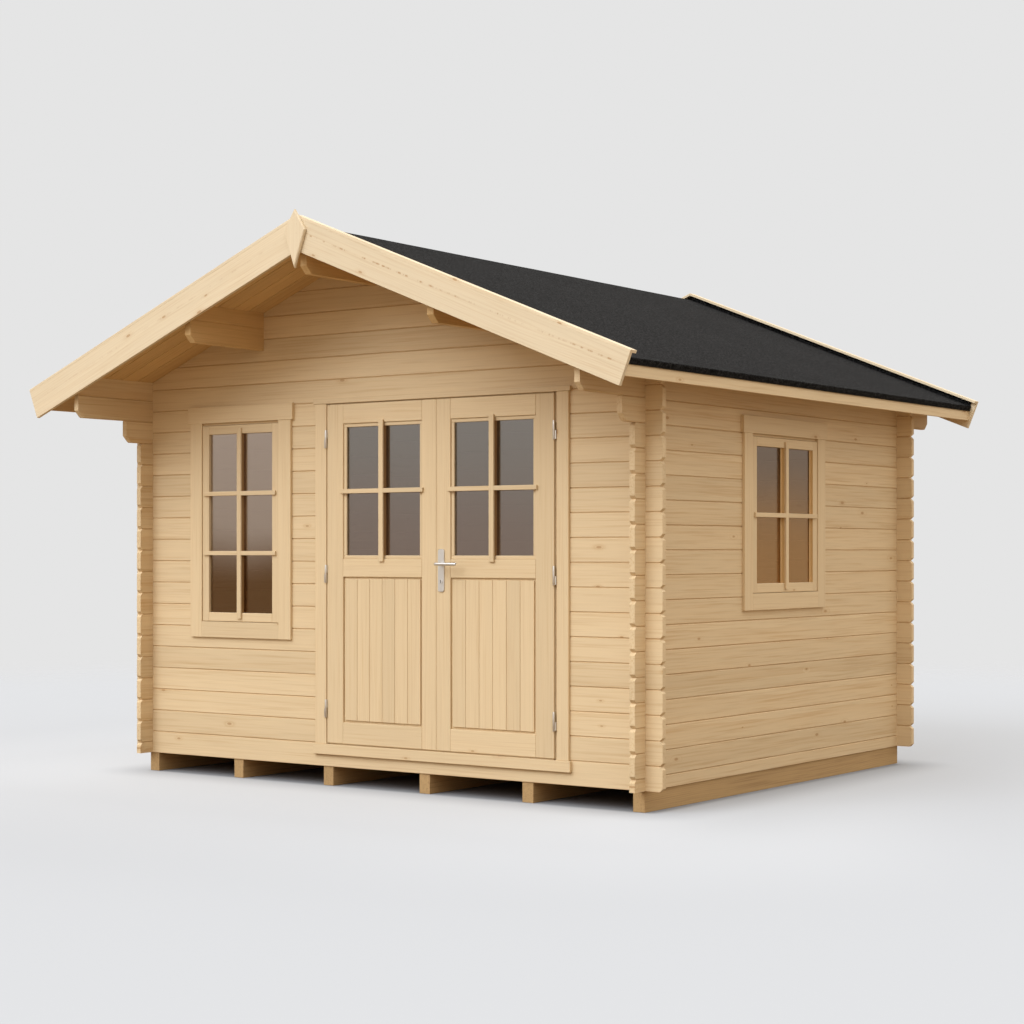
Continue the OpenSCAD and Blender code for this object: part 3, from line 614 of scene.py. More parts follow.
def casing_boards(wall, frame_node, sash_node):
    """The casings on both faces, the lining between them and the stops behind the sash."""
    frame_low, frame_high = wall_box(wall, frame_node)
    sash_low, sash_high = wall_box(wall, sash_node)
    face = frame_high[1] - HEAD_LIP
    skin = face - CASING_T
    inner = skin - WALL_T
    left, right = sash_low[0] - SASH_GAP, sash_high[0] + SASH_GAP
    outer_left, outer_right = sash_low[0] - CASING_W, sash_high[0] + CASING_W
    foot, head = sash_low[2] - SASH_GAP, sash_high[2] + SASH_GAP
    low, shoulder = sash_low[2] - CASING_W, sash_high[2] + STOP_W
    rim = STOP_W - SASH_GAP
    outside = [
        (frame_low[0], frame_high[0], skin, frame_high[1], shoulder, frame_high[2]),
        (outer_left, left, skin, face, low, shoulder),
        (right, outer_right, skin, face, low, shoulder),
        (left, right, skin, face, low, foot),
    ]
    lining = ring(left - rim, right + rim, foot - rim, head + rim, rim, inner, skin)
    width = CASING_W - SASH_GAP
    top = sash_high[2] + CASING_W
    inside = ring(outer_left, outer_right, low, top, width, inner - CASING_T, inner)
    stops = ring(left, right, foot, head, STOP_W + SASH_GAP, inner - CASING_T, sash_low[1])
    return [sticks(wall, outside, edge=CASING_EDGE), sticks(wall, lining + inside + stops)]


def sash_boards(wall, sash_node):
    """Stiles over the whole height of a sash, with the rails between them."""
    low, high = wall_box(wall, sash_node)
    left, right = low[0] + SASH_W, high[0] - SASH_W
    return sticks(wall, [
        (low[0], left, low[1], high[1], low[2], high[2]),
        (right, high[0], low[1], high[1], low[2], high[2]),
        (left, right, low[1], high[1], low[2], low[2] + SASH_W),
        (left, right, low[1], high[1], high[2] - SASH_W, high[2]),
    ], edge=SASH_EDGE)


def glazing_bars(wall, glass_node, bite, back, face, rows, shade_bead=0.0):
    """Planted bars over a pane, outside and in: one upright through the middle and rows - 1 level ones.
    Each outer bar is a strip on the face that laps onto the frame, over a spacer that reaches back to
    the glass; the spacer's darker finish is painted shade. Beads of that width lie on the glass beside the
    uprights, and a thin skin lines the reveals: both are thin sheets of painted shade."""
    low, high = wall_box(wall, glass_node)
    left, right, foot, head = low[0] + bite, high[0] - bite, low[2] + bite, high[2] - bite
    middle = (left + right) / 2
    bar_left, bar_right = middle - BAR_W / 2, middle + BAR_W / 2
    pane_back, pane_face, proud = low[1], high[1], face + BAR_PROUD
    strips = [(bar_left, bar_right, face, proud, foot - BAR_LAP, head + BAR_LAP)]
    cores = [
        (bar_left, bar_right, pane_face, face, foot, head),
        (bar_left, bar_right, back, pane_back, foot, head),
    ]
    # Painted shade: thin sheets of darker pine on the glass beside the uprights and in the reveals.
    if shade_bead:
        cores += [(start, start + shade_bead, pane_face, pane_face + SHADE_SKIN, foot, head)
                  for start in (left, bar_left - shade_bead, bar_right, right - shade_bead)]
        cores += [(start, start + SHADE_SKIN, pane_face, face - SHADE_SKIN, foot, head)
                  for start in (left, right - SHADE_SKIN)]
    for level in np.linspace(foot, head, rows + 1)[1:-1]:
        lower, upper = level - LEVEL_BAR_W / 2, level + LEVEL_BAR_W / 2
        for start, end, lap_left, lap_right in (
                (left, bar_left, BAR_LAP, 0.0), (bar_right, right, 0.0, BAR_LAP)):
            strips.append((start - lap_left, end + lap_right, face, proud, lower, upper))
            cores.append((start, end, pane_face, face, lower, upper))
            cores.append((start, end, back, pane_back, lower, upper))
    return sticks(wall, strips), sticks(wall, cores, edge=SPACER_EDGE)


print("window casings:", CASING_W, "m wide")

# %% Front and side windows
WINDOW_BITE = 0.008
FRONT_ROWS, SIDE_ROWS = 3, 2
# Width of the thin sheets of painted shade on the side window, in the floor's darker pine.
SIDE_SHADE_BEAD = 0.015
# The spacers behind the bars take a darker finish as painted shade: the spacer pine on the front window,
# the floor's pine on the side window.
for side, wall, rows, spacer_shade_finish, shade_bead in (
        ("front", FRONT, FRONT_ROWS, spacer_pine, 0.0), ("side", SIDE, SIDE_ROWS, floor_pine, SIDE_SHADE_BEAD)):
    frame_node, sash_node, glass_node = (f"{side}_window_{part}" for part in ("frame", "sash", "glass"))
    sash_low, sash_high = wall_box(wall, sash_node)
    add_piece(f"{side}_window_casings", casing_boards(wall, frame_node, sash_node), joinery_pine,
              "chalet", "joinery_pine", frame_node)
    add_piece(f"{side}_window_stiles_and_rails", [sash_boards(wall, sash_node)], joinery_pine,
              "chalet", "joinery_pine", sash_node)
    bars, spacers = glazing_bars(wall, glass_node, WINDOW_BITE, sash_low[1], sash_high[1], rows, shade_bead)
    add_piece(f"{side}_window_bars", [bars], joinery_pine, "chalet", "joinery_pine")
    add_piece(f"{side}_window_spacers", [spacers], spacer_shade_finish, "chalet", "joinery_pine")

# %% [markdown]
# ## The door frame
# Jambs, head and sill each wrap the ends of the logs: a flat board on either face of the wall, a core
# between them and a stop that the leaves close against. The head and sill run past the jambs and stand a
# little further out. A thin weather strip in the gap round the leaves keeps the daylight out.

# %% Door frame boards
JAMB_CORE = 0.049
JAMB_FACE = 0.074
FRAME_PROUD = 0.015
FRAME_LIP = 0.004
FRAME_LAP = 0.010
FRAME_EDGE = 0.0035
STOP_GAP = 0.006
STRIP_W = 0.0045
STRIP_BACK, STRIP_FACE = 0.020, 0.010
JAMB_SET_BACK = {-1: 0.0, 1: 0.007}
stop_face = wall_box(FRONT, "right_door_leaf")[0][1] - STOP_GAP


def jamb_boards(node, hand):
    """A jamb: face board, core, back board, stop and strip. hand is 1 where the doorway lies to its left;
    there the face board stands back from the leaf."""
    low, high = wall_box(FRONT, node)
    skin, inner = high[1] - FRAME_PROUD, low[1] + FRAME_PROUD
    edge, end = (low[0] + STOP_W, high[0]) if hand > 0 else (high[0] - STOP_W, low[0])
    boards = [
        (edge + JAMB_SET_BACK[hand], end, skin, high[1]),
        (edge, edge + hand * JAMB_CORE, inner, skin),
        (edge, end, low[1], inner),
        (edge - hand * STOP_W, edge, low[1], stop_face),
        (edge - hand * STRIP_W, edge, high[1] - STRIP_BACK, high[1] - STRIP_FACE),
    ]
    return sticks(FRONT, [
        (min(one, other), max(one, other), back, face, low[2], high[2]) for one, other, back, face in boards
    ], edge=FRAME_EDGE)


def cross_boards(node, stop_on_top):
    """The head or the sill: face board, core, back board, stop and strip."""
    low, high = wall_box(FRONT, node)
    leaf_face = high[1] - FRAME_LIP
    skin, inner = leaf_face - FRAME_PROUD, low[1] + FRAME_PROUD
    core_end = FRAME_LAP + JAMB_FACE - JAMB_CORE
    stop_end = FRAME_LAP + JAMB_FACE + STOP_W
    foot, head = (low[2], high[2] - STOP_W) if stop_on_top else (low[2] + STOP_W, high[2])
    stop = (head, high[2]) if stop_on_top else (low[2], foot)
    strip = (head, head + STRIP_W) if stop_on_top else (foot - STRIP_W, foot)
    boards = [
        (0.0, skin, high[1], foot, head),
        (core_end, inner, skin, foot, head),
        (FRAME_LAP, low[1], inner, foot, head),
        (stop_end, low[1], stop_face, *stop),
        (stop_end, leaf_face - STRIP_BACK, leaf_face - STRIP_FACE, *strip),
    ]
    return sticks(FRONT, [(low[0] + board[0], high[0] - board[0], *board[1:]) for board in boards])


add_piece("door_frame_boards", [
    jamb_boards("door_left_jamb", -1), jamb_boards("door_right_jamb", 1),
    cross_boards("door_head", False), cross_boards("door_sill", True),
], joinery_pine, "chalet", "joinery_pine", "door_left_jamb", "door_right_jamb", "door_head", "door_sill")

# %% [markdown]
# ## The door leaves
# A leaf is framed: two stiles over the whole height, three rails between them, a beaded pane above and
# upright tongued boards below, with a groove round them. The V between those boards comes from their
# eased edges. The boards stand almost flush with the frame, on a core as wide as the opening. The meeting
# edge leans back a little, so that one leaf can swing past the other, and the left leaf carries the strip
# that closes the gap there.

# %% Leaf boards
BEAD_W = 0.018
BEAD_RECESS = 0.007
BEAD_EDGE = 0.003
GLASS_BITE = 0.008
MIDDLE_RAIL = 0.089
BOTTOM_RAIL = 0.108
PANEL_RECESS = 0.002
PANEL_BOARDS = 6
PANEL_SKIN = 0.010
PANEL_EDGE = 0.0028
PANEL_GAP = 0.010
BOARD_GAP = 0.0012
FRAMING_EDGE = 0.0038
RAIL_EDGE = 0.0025
MEETING_REACH, MEETING_BACK, MEETING_FACE = 0.005, 0.022, 0.0015
MEETING_BEVEL = 0.003
LEAF_ROWS = 2


def leaf_boards(hand):
    """The stiles, rails, panel boards and beads of one leaf; hand is 1 for the right-hand one."""
    side = "right" if hand > 0 else "left"
    low, high = wall_box(FRONT, f"{side}_door_leaf")
    glass_low, glass_high = wall_box(FRONT, f"{side}_door_glass")
    back, face = low[1], high[1]
    inset = BEAD_W - GLASS_BITE
    left, right = glass_low[0] - inset, glass_high[0] + inset
    pane_foot, pane_head = glass_low[2] - inset, glass_high[2] + inset
    panel_foot, panel_head = low[2] + BOTTOM_RAIL, pane_foot - MIDDLE_RAIL
    left_stile, right_stile = (
        sticks(FRONT, [(start, end, back, face, low[2], high[2])], edge=FRAMING_EDGE)
        for start, end in ((low[0], left), (right, high[0])))
    meeting, edge, inner = (left_stile, low[0], left) if hand > 0 else (right_stile, high[0], right)
    points = meeting["points"]
    lean = (inner - points[:, 0]) / (inner - edge) * (face + points[:, 1]) / (face - back)
    points[:, 0] += hand * MEETING_BEVEL * np.clip(lean, 0, 1)

    rails = sticks(FRONT, [
        (left, right, back, face, foot, head)
        for foot, head in ((low[2], panel_foot), (panel_head, pane_foot), (pane_head, high[2]))
    ], edge=RAIL_EDGE)
    panel_back, panel_face = back + PANEL_RECESS, face - PANEL_RECESS
    core_back, core_face = panel_back + PANEL_SKIN, panel_face - PANEL_SKIN
    core = sticks(FRONT, [(left, right, core_back, core_face, panel_foot, panel_head)])
    joints = np.linspace(left + PANEL_GAP, right - PANEL_GAP, PANEL_BOARDS + 1)
    panel = sticks(FRONT, [
        (start + BOARD_GAP / 2, end - BOARD_GAP / 2, *skin, panel_foot + PANEL_GAP, panel_head - PANEL_GAP)
        for skin in ((core_face, panel_face), (panel_back, core_back))
        for start, end in zip(joints, joints[1:])
    ], edge=PANEL_EDGE)
    rims = ((glass_high[1], face - BEAD_RECESS), (back + BEAD_RECESS, glass_low[1]))
    beads = sticks(FRONT, [
        stick for rim in rims for stick in ring(left, right, pane_foot, pane_head, BEAD_W, *rim)
    ], edge=BEAD_EDGE)
    boards = [left_stile, right_stile, rails, core, panel, beads]
    if hand < 0:
        across = (high[0] - MEETING_BEVEL, high[0] + MEETING_REACH)
        boards.append(sticks(FRONT, [
            (*across, face - MEETING_BACK, face - MEETING_FACE, low[2], high[2])]))
    return boards


for side, hand in HANDS:
    leaf_low, leaf_high = wall_box(FRONT, f"{side}_door_leaf")
    add_piece(f"{side}_leaf_boards", leaf_boards(hand), joinery_pine, f"{side}_door", "joinery_pine",
              f"{side}_door_leaf")
    # The leaves' spacers are dark pine as painted shade behind the bars.
    bars, spacers = glazing_bars(
        FRONT, f"{side}_door_glass", GLASS_BITE, leaf_low[1], leaf_high[1], LEAF_ROWS)
    add_piece(f"{side}_leaf_bars", [bars], joinery_pine, f"{side}_door", "joinery_pine")
    add_piece(f"{side}_leaf_spacers", [spacers], spacer_pine, f"{side}_door", "joinery_pine")

# %% [markdown]
# ## The roof
# Boards run from ridge to eave on the purlins, with a V at every joint that shows on the underside. The
# bargeboards close their ends and carry a narrow capping that reaches back over the felt. All of them are
# cut plumb at the ridge, which is the slanted first end that the board function offers.

# %% Roof slope
ROOF_PITCH = math.radians(21.8)
ROOF_BOARD_T = 0.019
ROOF_BOARD_EDGE = 0.003
ROOF_BOARD_GAP = 0.004
ROOF_BOARDS = 32

roof_low, roof_high = node_box("right_roof_boards")
roof_front, roof_rear = roof_low[1], roof_high[1]
ridge_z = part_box("ridge_purlin")[1].z
board_run = (roof_high[0] - ROOF_BOARD_T * math.sin(ROOF_PITCH)) / math.cos(ROOF_PITCH)
plumb = -math.tan(ROOF_PITCH)


def slope_axes(hand):
    """Directions down a slope and square to it; hand is 1 for the right-hand slope."""
    down = np.array([hand * math.cos(ROOF_PITCH), 0.0, -math.sin(ROOF_PITCH)])
    square = np.array([hand * math.sin(ROOF_PITCH), 0.0, math.cos(ROOF_PITCH)])
    return down, square


def slope_boards(hand, low, high, run, y_low, y_high, edge=EASED_EDGE):
    """Boards that lie down a slope from the ridge, from low to high over the roof boards' underside."""
    down, square = slope_axes(hand)
    y_low, y_high = np.atleast_1d(y_low), np.atleast_1d(y_high)
    middle = (low + high) / 2
    start = (y_low + y_high)[:, None] / 2 * BACKWARD + ridge_z * UPWARD
    start = start + down * plumb * middle + square * middle
    ones = np.ones(len(y_low))
    size = np.stack([ones * (run - plumb * middle), ones * (high - low), y_high - y_low], 1)
    return planks(start, down, square, size, edge, skew=plumb)


joints = np.linspace(roof_front, roof_rear, ROOF_BOARDS + 1)
for side, hand in HANDS:
    boards = slope_boards(hand, 0.0, ROOF_BOARD_T, board_run, joints[:-1], joints[1:] - ROOF_BOARD_GAP,
                          edge=ROOF_BOARD_EDGE)
    add_piece(f"{side}_roof_planks", [boards], roof_pine, "chalet", "roof_pine", f"{side}_roof_boards")

# %% Bargeboards
FELT_T = 0.006
BARGE_H = 0.146
BARGE_T = 0.019
BARGE_RISE = 0.023
BARGE_RUN = 0.028
CAP_T = 0.014
CAP_W = 0.048

felt_top = ROOF_BOARD_T + FELT_T
barge_top = felt_top + BARGE_RISE
barge_run = board_run + BARGE_RUN
for end, barge_y, cap_y in (("front", roof_front - BARGE_T, roof_front - BARGE_T),
                            ("rear", roof_rear, roof_rear + BARGE_T - CAP_W)):
    for side, hand in HANDS:
        board = slope_boards(hand, barge_top - BARGE_H, barge_top, barge_run, barge_y, barge_y + BARGE_T)
        capping = slope_boards(hand, barge_top, barge_top + CAP_T, barge_run, cap_y, cap_y + CAP_W)
        name = f"{end}_{side}_bargeboard"
        add_piece(f"{name}_and_capping", [board, capping], barge_pine, "chalet", "bargeboard_pine", name)

# %% [markdown]
# ## The finial
# Where the front bargeboards meet, a small kite-shaped board hides the joint. It is an outline with a
# thickness, so a second function stacks four copies of an outline: the outer two are drawn in along the
# corner directions.

# %% Finial
FINIAL_UPPER_SHARE = 0.36
FINIAL_EDGE = 0.004


def eased_slab(outline, origin, right, up, thickness, edge=EASED_EDGE):
    """A flat slab. point = origin + right * u + up * v + out * t, with (u, v) on the outline, drawn in by
    edge along the mean normal of its two sides at the first and last of four levels t."""
    outline = np.asarray(outline, float)
    forward = np.roll(outline, -1, 0) - outline
    forward = forward / np.linalg.norm(forward, axis=1)[:, None]
    normal = np.stack([forward[:, 1], -forward[:, 0]], 1)
    before = np.roll(normal, 1, 0)
    corner = (normal + before) / (1 + (normal * before).sum(1))[:, None]
    flat = outline[None] - edge * OUTER_STATIONS[:, None, None] * corner[None]
    u, v = flat[..., :1], flat[..., 1:]
    t = np.array([0.0, edge, thickness - edge, thickness])[:, None, None] + 0 * u
    points = np.asarray(origin) + u * right + v * up + t * np.cross(right, up)
    grain = np.concatenate([v, u, t], -1)
    return closed_tubes(points[None], grain[None], rng.random(1))


finial_low, finial_high = node_box("finial")
half_width, height = (finial_high[0] - finial_low[0]) / 2, finial_high[2] - finial_low[2]
shoulder = height * (1 - FINIAL_UPPER_SHARE)
kite = [(0.0, 0.0), (half_width, shoulder), (0.0, height), (-half_width, shoulder)]
foot = (0.0, finial_high[1], finial_low[2])
slab = eased_slab(kite, foot, RIGHTWARD, UPWARD, finial_high[1] - finial_low[1], FINIAL_EDGE)
add_piece("kite_finial", [slab], barge_pine, "chalet", "bargeboard_pine", "finial")

# %% [markdown]
# ## The felt
# The felt is one sheet over each slope, folded down over the board ends at the eave. Its section is drawn
# on the slope, with a rounded fold, and carried along the ridge in short steps, so that it can rise and
# fall by a millimetre as real felt does where it is nailed. At both ends it is turned up against the
# bargeboard.

# %% Felt
FELT_DRIP = 0.030
FOLD_STEPS = 5
FELT_STATIONS = 90
FELT_ROWS = 40
FELT_WAVE = 0.0012
FELT_WAVES = ((9.0, 3.1, 0.0), (-4.0, 5.3, 1.0), (6.0, 14.0, 0.0))
UPSTAND_T = 0.004
UPSTAND_EDGE = 0.001
FELT_SMOOTH = 30


def felt_sheet(hand):
    """point = ridge + down * s + square * n + along the ridge * y, with (s, n) on the sheet's closed
    section; the upper face rises and falls by a sum of three sine waves in s and y."""
    down, square = slope_axes(hand)
    fold = np.linspace(0, math.pi / 2, FOLD_STEPS)[1:]
    flat = np.linspace(plumb * felt_top, board_run, FELT_ROWS)
    drip = felt_top - FELT_DRIP
    s = np.concatenate([flat, board_run + FELT_T * np.sin(fold),
                        [board_run + FELT_T, board_run, board_run, plumb * ROOF_BOARD_T]])
    n = np.concatenate([np.full(FELT_ROWS, felt_top), felt_top - FELT_T + FELT_T * np.cos(fold),
                        [drip, drip, ROOF_BOARD_T, ROOF_BOARD_T]])
    y = np.linspace(roof_front, roof_rear, FELT_STATIONS)[:, None]
    wave = sum(np.sin(by_s * s + by_y * y + phase) for by_s, by_y, phase in FELT_WAVES)
    upper = np.arange(len(s)) < FELT_ROWS
    n = n[None] + FELT_WAVE * (wave / len(FELT_WAVES) - 1) / 2 * upper
    points = ridge_z * UPWARD + s[None, :, None] * down + n[..., None] * square + y[..., None] * BACKWARD
    sheet = closed_tubes(points[None], points[None], np.zeros(1))
    if hand > 0:
        sheet["faces"] = [face[::-1] for face in sheet["faces"]]
    return sheet


for side, hand in HANDS:
    upstands = slope_boards(hand, felt_top - FELT_WAVE, barge_top, board_run,
                            [roof_front, roof_rear - UPSTAND_T], [roof_front + UPSTAND_T, roof_rear],
                            edge=UPSTAND_EDGE)
    add_piece(f"{side}_felt_sheet", [felt_sheet(hand), upstands], slate_felt, "chalet", "felt",
              f"{side}_felt", smooth_under=FELT_SMOOTH)

# %% [markdown]
# ## The floor
# Tongued boards run across the bearers from wall to wall, as long as the room is wide.

# %% Floor boards
FLOOR_BOARDS = 27
floor_low, floor_high = node_box("floor_boards")
joints = np.linspace(floor_low[1], floor_high[1], FLOOR_BOARDS + 1)
start = np.stack([np.full(FLOOR_BOARDS, floor_low[0]), (joints[:-1] + joints[1:]) / 2,
                  np.full(FLOOR_BOARDS, (floor_low[2] + floor_high[2]) / 2)], 1)
size = (floor_high[0] - floor_low[0], joints[1] - joints[0], floor_high[2] - floor_low[2])
add_piece("floor_planks", [planks(start, RIGHTWARD, BACKWARD, size)], floor_pine,
          "chalet", "floor_pine", "floor_boards")

# %% [markdown]
# ## Hinges and handle
# Each leaf hangs on three barrel hinges: a lower knuckle with the pin on the jamb, an upper one on the
# leaf. Both are turned parts, so a profile of radius and height is carried round the pin. The handle is a
# bent bar on a narrow plate: a circle carried along a path that leaves the door, turns a corner and runs
# level.

# %% Turned and bent parts
TURN_STEPS = 24
DOME_STEPS = 5
DOME_SHARE = 0.5
BARREL_EASE = 0.0006
POLE_R = 0.0004
STEEL_SMOOTH = 40


def carried_ring(path, radii, first, second):
    """A round bar. point = path + radius * (first * cos a + second * sin a), with its ends closed."""
    angle = np.linspace(0, 2 * math.pi, TURN_STEPS, endpoint=False)[None, :, None]
    circle = np.cos(angle) * first[:, None] + np.sin(angle) * second[:, None]
    points = path[:, None] + radii[:, None, None] * circle
    return closed_tubes(points[None], points[None], np.zeros(1))


def turned_part(foot, heights, radii):
    """A profile of radius over height, carried round an upright line from foot."""
    heights, radii = np.asarray(heights), np.asarray(radii)
    path = np.asarray(foot) + heights[:, None] * UPWARD
    ones = np.ones((len(heights), 1))
    return carried_ring(path, radii, ones * RIGHTWARD, ones * BACKWARD)


def barrel(foot, height, radius, domed_foot):
    """A knuckle: a straight barrel with one domed end and one eased end."""
    dome = np.linspace(0, math.pi / 2, DOME_STEPS + 1)[:-1]
    rise = radius * DOME_SHARE
    heights = np.concatenate([rise * (1 - np.cos(dome)), [rise, height - BARREL_EASE, height]])
    radii = np.concatenate([np.maximum(radius * np.sin(dome), POLE_R),
                            [radius, radius, radius - BARREL_EASE]])
    if not domed_foot:
        heights, radii = height - heights[::-1], radii[::-1]
    return turned_part(foot, heights, radii)


print("round parts have", TURN_STEPS, "sides")

# %% Hinges
KNUCKLE_R = 0.006
KNUCKLE_GAP = 0.0005
HINGE_H = 0.092
PIN_R = 0.003
LEAF_LUG, JAMB_LUG = 0.008, 0.012
LUG_FOOT, LUG_HEAD, LUG_EDGE = 0.004, 0.001, 0.0008
hinge_joints = {j["name"]: j["pos_m"] for j in frame["joints"]}
knuckle_low, knuckle_high = node_box("right_hinge_knuckles")
(_, leaf_front, leaf_foot), (_, leaf_rear, leaf_head) = node_box("right_door_leaf")
hinge_levels = [knuckle_low[2] - KNUCKLE_GAP / 2, (leaf_foot + leaf_head) / 2,
                knuckle_high[2] - HINGE_H / 2]


def hinge_parts(axis, hand):
    """The three lower knuckles with their pins, and the three upper ones, of one leaf."""
    x, y = axis[:2]
    lower, upper = [], []
    reach = KNUCKLE_GAP / 2
    half = HINGE_H / 2 - reach
    for level in hinge_levels:
        below, above = level - HINGE_H / 2, level + reach
        lower.append(barrel((x, y, below), half, KNUCKLE_R, True))
        lower.append(turned_part((x, y, level - reach), [0.0, reach * 2], [PIN_R, PIN_R]))
        upper.append(barrel((x, y, above), half, KNUCKLE_R, False))
        for parts, foot, lug in ((lower, below, hand * JAMB_LUG), (upper, above, -hand * LEAF_LUG)):
            parts.append(sticks(FRONT, [
                (*sorted((x, x + lug)), -leaf_front, -y, foot + LUG_FOOT, foot + half - LUG_HEAD),
            ], edge=LUG_EDGE))
    return lower, upper


fixed = []
for side, hand in HANDS:
    lower, upper = hinge_parts(hinge_joints[f"{side}_door_hinge"], hand)
    fixed += lower
    add_piece(f"{side}_hinge_barrels", upper, hinge_steel, f"{side}_door", "hardware",
              f"{side}_hinge_knuckles", smooth_under=STEEL_SMOOTH)
add_piece("jamb_hinge_barrels", fixed, hinge_steel, "chalet", "hardware", "hinge_pins",
          smooth_under=STEEL_SMOOTH)

# %% Handle shapes
LEVER_R = 0.008
LEVER_BEND = 0.014
LEVER_STRAIGHT = 0.02
LEVER_POLE_R = 0.0005
BEND_STEPS, TIP_STEPS = 8, 5
OUTLINE_STEPS = 7
lever_x, lever_y, lever_z = hinge_joints["lever_turn"]
lever_low, lever_high = node_box("door_lever")


def rounded_outline(width, height, radius):
    """A rectangle about its middle with rounded corners, anticlockwise."""
    corner = CORNERS * (np.array([width, height]) / 2 - radius)
    return (corner[:, None] + radius * corner_arcs(OUTLINE_STEPS)).reshape(-1, 2)


def grip(y_face, y_out):
    """A lever: out of the door along y, round a bend, then level towards the hinges."""
    turn = math.copysign(1.0, y_out - y_face)
    straight = abs(y_out - y_face) - LEVER_BEND
    bend = np.linspace(0, math.pi / 2, BEND_STEPS + 1)[1:]
    tip = np.linspace(0, math.pi / 2, TIP_STEPS + 1)[1:]
    tip_start = lever_high[0] - lever_x - LEVER_R
    out = np.concatenate([[0.0, straight], straight + LEVER_BEND * np.sin(bend),
                          np.full(2 + TIP_STEPS, straight + LEVER_BEND)])
    level = np.concatenate([[0.0, 0.0], LEVER_BEND * (1 - np.cos(bend)),
                            [tip_start - LEVER_STRAIGHT, tip_start], tip_start + LEVER_R * np.sin(tip)])
    radii = np.concatenate([np.full(len(out) - TIP_STEPS, LEVER_R),
                            np.maximum(LEVER_R * np.cos(tip), LEVER_POLE_R)])
    path = np.stack([lever_x + level, y_face + turn * out, np.full(len(out), lever_z)], 1)
    forward = np.gradient(path, axis=0)
    forward = forward / np.linalg.norm(forward, axis=1)[:, None]
    first = np.broadcast_to(UPWARD, forward.shape)
    return carried_ring(path, radii, first, np.cross(forward, first))


print("lever turns about", [round(v, 3) for v in (lever_x, lever_y, lever_z)])

# %% Handle
PLATE_ROUND, PLATE_EDGE = 0.011, 0.0018
ROSE_R, ROSE_T, ROSE_EDGE = 0.011, 0.0019, 0.0006
NEARLY_ROUND = 0.999
KEY_DROP = 0.084
KEYHOLE_W, KEYHOLE_H, KEYHOLE_ROUND = 0.0040, 0.0150, 0.0019
KEYHOLE_OUT, KEYHOLE_T, KEYHOLE_EDGE = 0.0017, 0.0003, 0.0001
KEYHOLE_SHADE = (0.004, 0.004, 0.004, 1.0)
KEYHOLE_SPECKLE = (0.016, 0.015, 0.014, 1.0)


def keyhole_black(name):
    """Painted shade of a keyhole: a black sheet with a faint speckle, so that it is not one flat black."""
    dark = Finish(bpy.data.materials.new(name))
    shade_speckle = dark.noise(dark.places(), scale=900.0)
    colour = dark.mix(shade_speckle, KEYHOLE_SHADE, KEYHOLE_SPECKLE)
    dark.surface(colour, roughness=0.8, height=shade_speckle, depth=0.0002, strength=0.1)
    return dark.owner


plate_low, plate_high = node_box("handle_plates")
plate_t = plate_high[1] - leaf_rear
plate_middle = (plate_low[2] + plate_high[2]) / 2
plate_outline = rounded_outline(plate_high[0] - plate_low[0], plate_high[2] - plate_low[2], PLATE_ROUND)
rose_outline = rounded_outline(2 * ROSE_R, 2 * ROSE_R, ROSE_R * NEARLY_ROUND)
hole_outline = rounded_outline(KEYHOLE_W, KEYHOLE_H, KEYHOLE_ROUND)
plates, keyholes = [], []
for base, outward in ((leaf_front, -1), (leaf_rear, 1)):
    right = RIGHTWARD * -outward
    middle = np.array([lever_x, base, plate_middle])
    key = np.array([lever_x, base + outward * plate_t, lever_z - KEY_DROP])
    hole = key + outward * KEYHOLE_OUT * BACKWARD
    plates.append(eased_slab(plate_outline, middle, right, UPWARD, plate_t, PLATE_EDGE))
    plates.append(eased_slab(rose_outline, key, right, UPWARD, ROSE_T, ROSE_EDGE))
    keyholes.append(eased_slab(hole_outline, hole, right, UPWARD, KEYHOLE_T, KEYHOLE_EDGE))
grips = [grip(leaf_front - plate_t, lever_low[1] + LEVER_R),
         grip(leaf_rear + plate_t, lever_high[1] - LEVER_R)]
add_piece("handle_plates_and_roses", plates, handle_steel, "right_door", "hardware", "handle_plates",
          smooth_under=STEEL_SMOOTH)
add_piece("lever_grips", grips, handle_steel, "lever", "hardware", "door_lever", smooth_under=STEEL_SMOOTH)
add_piece("keyholes", keyholes, keyhole_black("keyhole_black"), "right_door", "hardware")

# %% [markdown]
# ## Floor and light
# The studio has a wide soft ceiling, dimmer walls and one broad lamp high on the left of the front. So
# the front is bright, the right-hand side is in soft shade, and the roof throws a wide, blurred shade on
# the gable and under the eaves. The camera sees an even pale surround. The floor is the same pale tone
# and fades into it at the rim, so that no horizon shows, and it throws back only a little warm light, as
# a workshop floor would. It also glows faintly round the chalet, but not close to its foot, and less to
# the rear right, away from the lamp. That keeps the shade on the floor as soft and narrow as in the photo.

# %% Studio floor
FLOOR_GREY = (0.294, 0.305, 0.324, 1.0)
FLOOR_BOUNCE = (0.235, 0.165, 0.098, 1.0)
WHITE = (1.0, 1.0, 1.0, 1.0)
FLOOR_STEPS = 96
FLOOR_FADE = (7.0, 12.0)
FLOOR_FOOT = (1.555, 1.28)
FLOOR_FOOT_MIDDLE = (0.025, 0.06)
FLOOR_LEE_SHARE = 0.6
# Glows that stay: how far from the foot they reach full strength, and that strength.
FLOOR_GLOW_NEAR = (0.05, 0.11)
FLOOR_GLOW_FAR = (0.36, 0.165)
# Glows that end: distance of full strength, strength, distance of the end, and the fade on the lee side.
FLOOR_GLOW_BROAD = (1.0, 0.068, 2.6, 1.5, 2.8)
FLOOR_GLOW_LIT = (0.07, 0.12, 1.2, 0.6, 1.5)


